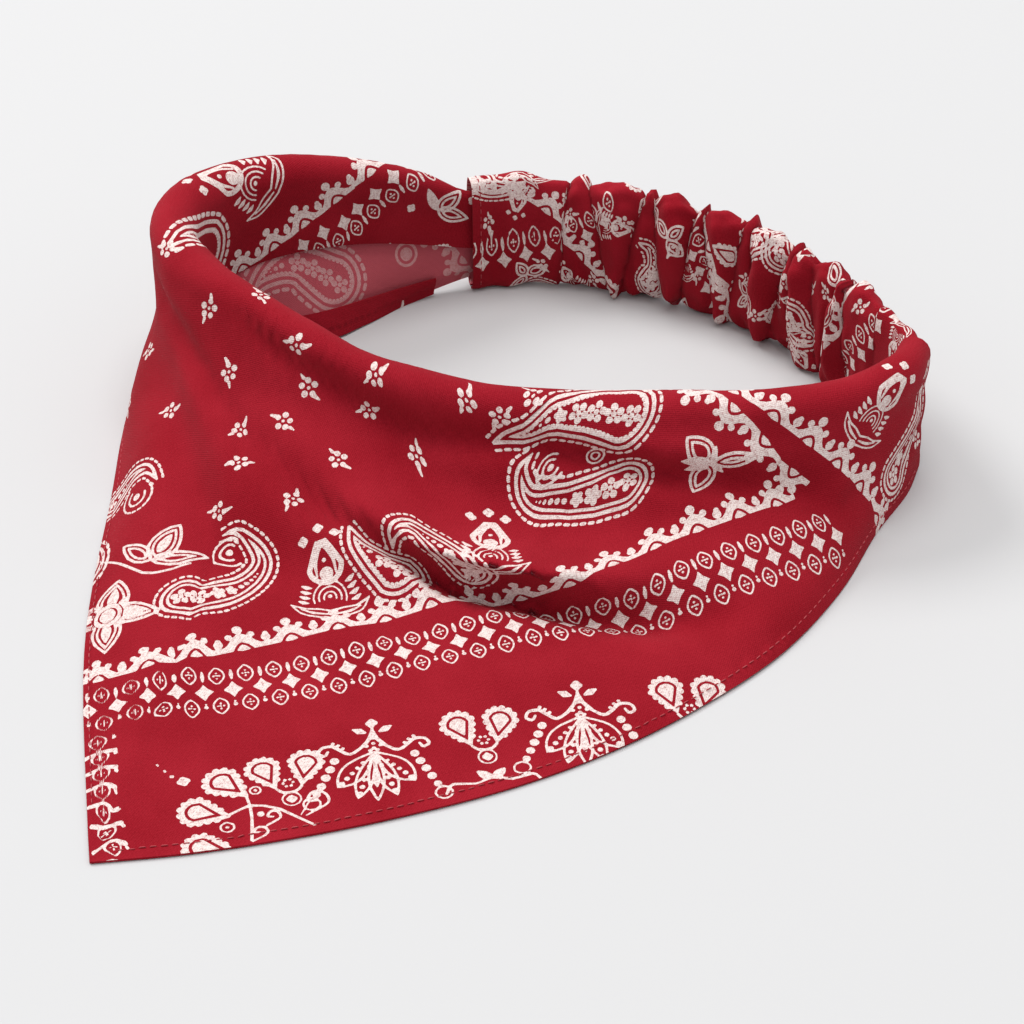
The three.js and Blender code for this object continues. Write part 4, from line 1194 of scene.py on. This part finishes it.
def simpler(points, tolerance):
    """Numbers of the points that a run keeps, so that it stays within the tolerance."""
    keep = {0, len(points) - 1}
    closed = len(points) > 3 and np.allclose(points[0], points[-1])
    if closed:
        keep.add(len(points) // 2)
    marks = sorted(keep)
    stack = list(zip(marks[:-1], marks[1:]))
    while stack:
        a, b = stack.pop()
        if b - a < 2:
            continue
        along = points[b] - points[a]
        size = math.hypot(*along)
        away = points[a + 1:b] - points[a]
        if size < 1e-9:
            distance = np.hypot(away[:, 0], away[:, 1])
        else:
            distance = np.abs(away[:, 0] * along[1] - away[:, 1] * along[0]) / size
        worst = int(distance.argmax())
        if distance[worst] > tolerance:
            middle = a + 1 + worst
            keep.add(middle)
            stack += [(a, middle), (middle, b)]
    return sorted(keep)


def flat_mesh(size, ink, spacing, tolerance):
    """Triangles over a sheet of size (mm along, mm down), with edges along the ink's edges."""
    rows, columns = ink.shape
    to_mm = np.array([size[0] / (rows - 1), size[1] / (columns - 1)])
    across, down = (max(2, round(s / spacing)) for s in size)
    points, edges = [], []
    border = ([(i / across, 0) for i in range(across)] + [(1, j / down) for j in range(down)]
              + [(1 - i / across, 1) for i in range(across)] + [(0, 1 - j / down) for j in range(down)])
    points += [(a * size[0], b * size[1]) for a, b in border]
    edges += [(k, (k + 1) % len(border)) for k in range(len(border))]
    if (ink > 0).any():
        found, segments = crossings(ink)
        found = found * to_mm
        for run in chains(len(found), segments):
            kept = [run[k] for k in simpler(found[run], tolerance)]
            if len(kept) < 3:
                continue
            closed = kept[0] == kept[-1]
            first = len(points)
            body = kept[:-1] if closed else kept
            points += [tuple(found[k]) for k in body]
            numbers = list(range(first, first + len(body)))
            edges += list(zip(numbers[:-1], numbers[1:]))
            if closed:
                edges.append((numbers[-1], numbers[0]))
    # points between, staggered, and kept off the ink's edges so that no sliver is made
    for i in range(1, across):
        shift = 0.25 if i % 2 else -0.25
        j = np.arange(1, down)
        a = np.full(len(j), i / across * size[0])
        b = (j + shift) / down * size[1]
        near = np.abs(bilinear(ink, a / to_mm[0], b / to_mm[1])) < spacing * 0.3
        points += [(x, y) for x, y, drop in zip(a.tolist(), b.tolist(), near) if not drop]
    made = delaunay_2d_cdt([Vector(p) for p in points], edges, [], 0, 1e-4)
    flat = np.array([tuple(p) for p in made[0]])
    faces = np.array(made[2])
    a, b, c = (flat[faces[:, k]] for k in range(3))
    area = (b - a)[:, 0] * (c - a)[:, 1] - (b - a)[:, 1] * (c - a)[:, 0]
    return flat, faces[np.abs(area) > 1e-6], to_mm


def cloth_object(name, grid, flat_places, ink, spacing, material, facing=1, tolerance=0.06):
    """A closed thin shell round a grid of middle points, with the ink as its faces' own value.

    flat_places are the grid's places on the flat cloth, in mm, which the weave follows. facing
    is -1 where the printed side lies against the grid's own normals.
    """
    size = mean_size(grid)
    flat, faces, to_mm = flat_mesh(size, ink, spacing, tolerance)
    i, j = flat[:, 0] / to_mm[0], flat[:, 1] / to_mm[1]
    scale = np.array([(grid.shape[0] - 1) / (ink.shape[0] - 1), (grid.shape[1] - 1) / (ink.shape[1] - 1)])
    middle = bilinear(grid, i * scale[0], j * scale[1])
    normals = bilinear(grid_normals(grid), i * scale[0], j * scale[1])
    normals *= facing / np.linalg.norm(normals, axis=1, keepdims=True)
    outer = middle + normals * CLOTH / 2
    inner = middle - normals * CLOTH / 2
    inner[:, 2] = np.maximum(inner[:, 2], 0.05)
    outer[:, 2] = np.maximum(outer[:, 2], np.where(normals[:, 2] > 0.3, CLOTH * 0.8, 0.05))
    # the triangles' turn follows the normals
    a, b, c = (outer[faces[:, k]] for k in range(3))
    if (np.cross(b - a, c - a) * normals[faces[:, 0]]).sum() < 0:
        faces = faces[:, ::-1]
    pairs = np.concatenate([faces[:, [0, 1]], faces[:, [1, 2]], faces[:, [2, 0]]])
    count = len(flat)
    forward = pairs[:, 0].astype(np.int64) * count + pairs[:, 1]
    backward = pairs[:, 1].astype(np.int64) * count + pairs[:, 0]
    rim = pairs[~np.isin(forward, backward)]
    sides = np.concatenate([
        np.stack([rim[:, 1], rim[:, 0], rim[:, 0] + count], -1),
        np.stack([rim[:, 1], rim[:, 0] + count, rim[:, 1] + count], -1)])
    every = np.concatenate([faces, faces[:, ::-1] + count, sides])
    mesh = bpy.data.meshes.new(name)
    mesh.from_pydata(to_metres(np.concatenate([outer, inner])).tolist(), [], every.tolist())
    centres = flat[faces].mean(1)
    inked = (bilinear(ink, centres[:, 0] / to_mm[0], centres[:, 1] / to_mm[1]) > 0).astype(np.float32)
    rim_ink = np.zeros(len(sides), np.float32)
    values = np.concatenate([inked, inked, rim_ink])
    mesh.attributes.new("ink", "FLOAT", "FACE").data.foreach_set("value", values)
    wrong = np.concatenate([np.zeros(len(faces)), np.ones(len(faces)), np.zeros(len(sides))])
    mesh.attributes.new("wrong_side", "FLOAT", "FACE").data.foreach_set("value", wrong.astype(np.float32))
    on_cloth = bilinear(flat_places, i * scale[0], j * scale[1])
    corners = np.concatenate([on_cloth, on_cloth])[every.ravel()]
    mesh.uv_layers.new(name="cloth").uv.foreach_set("vector", corners.astype(np.float32).ravel())
    mesh.polygons.foreach_set("use_smooth", np.ones(len(every), bool))
    corner_normals = np.concatenate([
        normals[faces.ravel()], -normals[faces[:, ::-1].ravel()],
        np.repeat(rim_normals(outer, inner, sides), 3, axis=0)])
    mesh.normals_split_custom_set(corner_normals.tolist())
    piece = bpy.data.objects.new(name, mesh)
    bpy.context.collection.objects.link(piece)
    mesh.materials.append(material)
    return piece


def rim_normals(outer, inner, sides):
    """The faces' own normals round the cut edge, so that it stays crisp."""
    every = np.concatenate([outer, inner])
    a, b, c = (every[sides[:, k]] for k in range(3))
    normals = np.cross(b - a, c - a)
    return normals / np.maximum(np.linalg.norm(normals, axis=1, keepdims=True), 1e-9)


def mean_size(grid):
    """Mean lengths of a grid of points, along and down, in mm."""
    return (float(np.linalg.norm(np.diff(grid, axis=0), axis=-1).sum(0).mean()),
            float(np.linalg.norm(np.diff(grid, axis=1), axis=-1).sum(1).mean()))


def stitches(name, line, normals, material):
    """A row of stitches on a line of surface points, as one mesh of short rounded threads."""
    marks = np.concatenate([[0], np.cumsum(np.linalg.norm(np.diff(line, axis=0), axis=1))])
    centres = np.arange(STITCH_PITCH, marks[-1] - STITCH_PITCH, STITCH_PITCH)
    shares = np.array([-0.5, -0.3, 0.3, 0.5])
    widths = np.array([0.35, 1.0, 1.0, 0.35]) * THREAD / 2
    angles = np.linspace(0, 2 * np.pi, 6)[:-1]
    points, faces = [], []
    for centre in centres:
        spots = centre + shares * STITCH_LENGTH
        at = np.stack([np.interp(spots, marks, line[:, k]) for k in range(3)], -1)
        up = np.array([np.interp(centre, marks, normals[:, k]) for k in range(3)])
        up /= np.linalg.norm(up)
        side = np.cross(up, at[-1] - at[0])
        side /= np.linalg.norm(side)
        first = len(points)
        for place, width, sunk in zip(at, widths, (0.5, 0, 0, 0.5)):
            middle = place + up * THREAD * (0.25 - sunk)
            points += [middle + width * (math.cos(a) * side + math.sin(a) * up) for a in angles]
        count = len(angles)
        for ring in range(3):
            for k in range(count):
                a, b = first + ring * count + k, first + ring * count + (k + 1) % count
                faces.append((a, b, b + count, a + count))
        faces.append(tuple(range(first, first + count))[::-1])
        faces.append(tuple(range(first + 3 * count, first + 4 * count)))
    mesh = bpy.data.meshes.new(name)
    mesh.from_pydata(to_metres(points).tolist(), [], faces)
    mesh.polygons.foreach_set("use_smooth", np.ones(len(faces), bool))
    mesh.materials.append(material)
    piece = bpy.data.objects.new(name, mesh)
    bpy.context.collection.objects.link(piece)
    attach(piece, "root")
    return piece


# materials

RED = (0.212, 0.0020, 0.0080, 1)
FADED_RED = (0.325, 0.0110, 0.0220, 1)
WRONG_SIDE_RED = (0.440, 0.0800, 0.1000, 1)
WHITE_INK = (0.780, 0.690, 0.650, 1)
THREAD_PITCH = 0.36        # mm from one thread of the weave to the next


class Nodes:
    """Adds nodes to a material's tree and joins them."""

    def __init__(self, material):
        material.use_nodes = True
        self.tree = material.node_tree
        self.shader = self.tree.nodes["Principled BSDF"]

    def set(self, socket, value):
        if isinstance(value, bpy.types.NodeSocket):
            self.tree.links.new(value, socket)
        else:
            socket.default_value = value

    def add(self, kind, output=0, settings=None, **inputs):
        node = self.tree.nodes.new("ShaderNode" + kind)
        for name, value in (settings or {}).items():
            setattr(node, name, value)
        for name, value in inputs.items():
            self.set(node.inputs[name.replace("_", " ")], value)
        return node.outputs[output]

    def math(self, operation, a, b=0.0, clamp=False):
        node = self.tree.nodes.new("ShaderNodeMath")
        node.operation = operation
        node.use_clamp = clamp
        self.set(node.inputs[0], a)
        self.set(node.inputs[1], b)
        return node.outputs[0]

    def blend(self, share, a, b):
        node = self.tree.nodes.new("ShaderNodeMix")
        node.data_type = "RGBA"
        self.set(node.inputs["Factor"], share)
        self.set(node.inputs["A"], a)
        self.set(node.inputs["B"], b)
        return node.outputs["Result"]

    def spread(self, value, low, high):
        """A value that runs from 0 at low to 1 at high."""
        node = self.tree.nodes.new("ShaderNodeMapRange")
        self.set(node.inputs["Value"], value)
        node.inputs["From Min"].default_value = low
        node.inputs["From Max"].default_value = high
        return node.outputs["Result"]

    def noise(self, vector, scale, detail=2.0, rough=0.5):
        return self.add("TexNoise", 0, Vector=vector, Scale=scale, Detail=detail, Roughness=rough)


def woven(nodes, cloth):
    """Height of a plain weave, from -1 to 1, on the cloth's own flat millimetres."""
    per_thread = 2 * math.pi / (20 * 2 * THREAD_PITCH)
    waves = []
    for way in ("X", "Y"):
        wave = nodes.add("TexWave", 1, {"wave_type": "BANDS", "bands_direction": way},
                         Vector=cloth, Scale=per_thread, Distortion=0.0, Detail=0.0)
        waves.append(nodes.math("MULTIPLY_ADD", wave, 2.0))
        waves[-1].node.inputs[2].default_value = -1.0
    return nodes.math("MULTIPLY", waves[0], waves[1])


def cotton_material():
    """Brushed printed cotton: red ground, worn white ink, and a paler wrong side."""
    material = bpy.data.materials.new("printed_cotton")
    nodes = Nodes(material)
    cloth = nodes.add("UVMap", 0, {"uv_map": "cloth"})
    ink = nodes.add("Attribute", 2, {"attribute_name": "ink"})
    wrong = nodes.add("Attribute", 2, {"attribute_name": "wrong_side"})
    weave = woven(nodes, cloth)
    grain = nodes.noise(cloth, 1.9, 2.0, 0.6)
    patches = nodes.noise(cloth, 0.035, 3.0, 0.55)
    worn = nodes.noise(cloth, 0.75, 3.0, 0.7)

    fade = nodes.math("ADD", nodes.math("MULTIPLY", nodes.spread(patches, 0.35, 0.7), 0.50),
                      nodes.math("MULTIPLY", nodes.spread(grain, 0.3, 0.7), 0.50))
    red = nodes.blend(fade, RED, FADED_RED)
    ground = nodes.blend(wrong, red, WRONG_SIDE_RED)
    rubbed = nodes.math("MULTIPLY", nodes.spread(worn, 0.46, 0.74), 0.40)
    flecks = nodes.math("MULTIPLY", nodes.spread(grain, 0.48, 0.70), 0.46)
    cover = nodes.math("SUBTRACT", 0.96, nodes.math("ADD", rubbed, flecks))
    through = nodes.math("SUBTRACT", 1.0, nodes.math("MULTIPLY", wrong, 0.62))
    share = nodes.math("MULTIPLY", nodes.math("MULTIPLY", ink, cover), through)
    colour = nodes.blend(share, ground, WHITE_INK)
    nodes.set(nodes.shader.inputs["Base Color"], colour)
    height = nodes.math("ADD", nodes.math("MULTIPLY", weave, 0.5), nodes.math("MULTIPLY", grain, 1.2))
    bump = nodes.tree.nodes.new("ShaderNodeBump")
    bump.inputs["Strength"].default_value = 0.8
    bump.inputs["Distance"].default_value = 0.00012
    nodes.set(bump.inputs["Height"], height)
    nodes.set(nodes.shader.inputs["Normal"], bump.outputs["Normal"])
    nodes.shader.inputs["Roughness"].default_value = 0.92
    nodes.shader.inputs["Specular IOR Level"].default_value = 0.10
    nodes.shader.inputs["Sheen Weight"].default_value = 0.03
    nodes.shader.inputs["Sheen Roughness"].default_value = 0.45
    nodes.shader.inputs["Sheen Tint"].default_value = (1.0, 0.62, 0.62, 1)
    return material


def thread_material():
    """Red cotton sewing thread with its twist."""
    material = bpy.data.materials.new("sewing_thread")
    nodes = Nodes(material)
    twist = nodes.noise(nodes.add("TexCoord", 3), 2600.0, 1.0, 0.5)
    colour = nodes.blend(twist, (0.26, 0.010, 0.020, 1), (0.48, 0.060, 0.070, 1))
    nodes.set(nodes.shader.inputs["Base Color"], colour)
    nodes.shader.inputs["Roughness"].default_value = 0.7
    return material


def elastic_material():
    """A woven elastic band: pale ribs along it, seen only through a gap."""
    material = bpy.data.materials.new("elastic_band")
    nodes = Nodes(material)
    place = nodes.add("TexCoord", 3)
    ribs = nodes.add("TexWave", 1, {"wave_type": "BANDS", "bands_direction": "Z"},
                     Vector=place, Scale=210.0, Distortion=0.4, Detail=1.0)
    colour = nodes.blend(ribs, (0.62, 0.60, 0.55, 1), (0.80, 0.78, 0.73, 1))
    nodes.set(nodes.shader.inputs["Base Color"], colour)
    bump = nodes.tree.nodes.new("ShaderNodeBump")
    bump.inputs["Distance"].default_value = 0.0002
    nodes.set(bump.inputs["Height"], ribs)
    nodes.set(nodes.shader.inputs["Normal"], bump.outputs["Normal"])
    nodes.shader.inputs["Roughness"].default_value = 0.8
    return material



# pieces

KERCHIEF_SAMPLES = (1801, 901)
TURN_UP_SAMPLES = (281, 101)
CASING_SAMPLES = (1401, 501)
KERCHIEF_SPACING = 2.4     # mm between mesh points where there is no print
TURN_UP_SPACING = 1.5
CASING_SPACING = 1.25
HIDDEN_PER_GATHER = 7.5    # mm of cloth folded away in one tight gather
GATHER_WIDTH = 1.6
TURN_UP_ROWS = (1.6, 5.6)
TURN_UP_FROM = 0.84
CASING_CLOSED = 0.02       # the casing's long edges meet underneath, but for this angle
STITCHED_AT = 3.4          # mm from the hem's edge
SEAM_AT = 2.4              # mm from the casing's ends
STITCH_PITCH, STITCH_LENGTH, THREAD = 2.6, 1.8, 0.34
BESIDE_TIP = 0.16          # rows left without stitches on each side of the tip


def make_kerchief(cotton, sheet):
    """The triangle, and the strip of it that is turned up inside at the back left."""
    places = np.linspace(0, LAST_ROW, KERCHIEF_SAMPLES[0])
    depths = np.linspace(-1, 1, KERCHIEF_SAMPLES[1])
    sections = flat_sections()
    flat = flat_kerchief(sections, places, depths)
    kerchief = cloth_object("kerchief_cloth", kerchief_grid(places, depths), flat, sheet.at(flat),
                            KERCHIEF_SPACING, cotton)
    # the strip turned up inside is the same cloth, past the hem
    places = np.linspace(*TURN_UP_ROWS, TURN_UP_SAMPLES[0])
    depths = np.linspace(TURN_UP_FROM, 1, TURN_UP_SAMPLES[1])
    flat = flat_kerchief(sections, places, depths)
    flat = 2 * flat[:, -1:] - flat
    turned_edge = cloth_object("turned_up_edge", turned_edge_grid(places, depths), flat,
                               sheet.at(flat), TURN_UP_SPACING, cotton, -1)
    return kerchief, turned_edge


def hidden_in_gathers(mm, upward):
    """Cloth that the gathers swallow before each place along the casing, in mm."""
    marks = GATHERS[:, 0] + GATHERS[:, 2] * upward[:, None]
    steps = np.clip((mm[:, None, None] - marks) / GATHER_WIDTH + 0.5, 0, 1)
    return (HIDDEN_PER_GATHER * GATHERS[:, 1] * steps ** 2 * (3 - 2 * steps)).sum(-1)


def turns_round_casing(left_open, count):
    """Angles round the casing, from its underside over the outside and the top."""
    return np.linspace(-np.pi / 2 + left_open, 1.5 * np.pi - left_open, count)


def make_casing(cotton, sheet):
    mm = np.linspace(0, CASING_LENGTH, CASING_SAMPLES[0])
    turns = turns_round_casing(CASING_CLOSED, CASING_SAMPLES[1])
    grid = casing_grid(mm, turns)
    along = grid_lengths(grid, 0).mean(1, keepdims=True) + hidden_in_gathers(mm, np.sin(turns))
    round_it = grid_lengths(grid, 1).mean(0, keepdims=True)
    flat = np.stack(np.broadcast_arrays(along, round_it), -1)
    return cloth_object("casing_cloth", grid, flat, sheet.at(flat), CASING_SPACING, cotton, -1)


def sew(thread):
    """Stitches along the hem and round both ends of the casing."""
    places = np.linspace(0.3, LAST_ROW - 0.3, 1201)
    depths = np.linspace(0.8, 1, 121)
    grid = kerchief_grid(places, depths)
    lengths = grid_lengths(grid, 1)
    from_hem = lengths[:, -1:] - lengths
    column = np.argmin(np.abs(from_hem - STITCHED_AT), axis=1)
    rows = np.arange(len(places))
    normals = grid_normals(grid)[rows, column]
    line = grid[rows, column] + normals * CLOTH / 2
    pieces = []
    for name, keep in (("hem_stitches_left", places <= TIP_ROW - BESIDE_TIP),
                       ("hem_stitches_right", places >= TIP_ROW + BESIDE_TIP)):
        pieces.append(stitches(name, line[keep], normals[keep], thread))
    turns = turns_round_casing(0.3, 301)
    for name, mm in (("seam_stitches_right", SEAM_AT),
                     ("seam_stitches_left", CASING_LENGTH - SEAM_AT)):
        grid = casing_grid(np.array([mm - 0.5, mm, mm + 0.5]), turns)
        normals = -grid_normals(grid)[1]
        pieces.append(stitches(name, grid[1] + normals * CLOTH / 2, normals, thread))
    return pieces


cotton = cotton_material()
kerchief, turned_edge = make_kerchief(cotton, kerchief_print())
casing = make_casing(cotton, casing_print())
for slot in bpy.data.objects["elastic"].material_slots:
    slot.material = elastic_material()
hem_left, hem_right, seam_right, seam_left = sew(thread_material())
for piece, node in ((kerchief, "kerchief"), (turned_edge, "kerchief_turned_edge"), (casing, "casing")):
    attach(piece, "root")
    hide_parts(node)
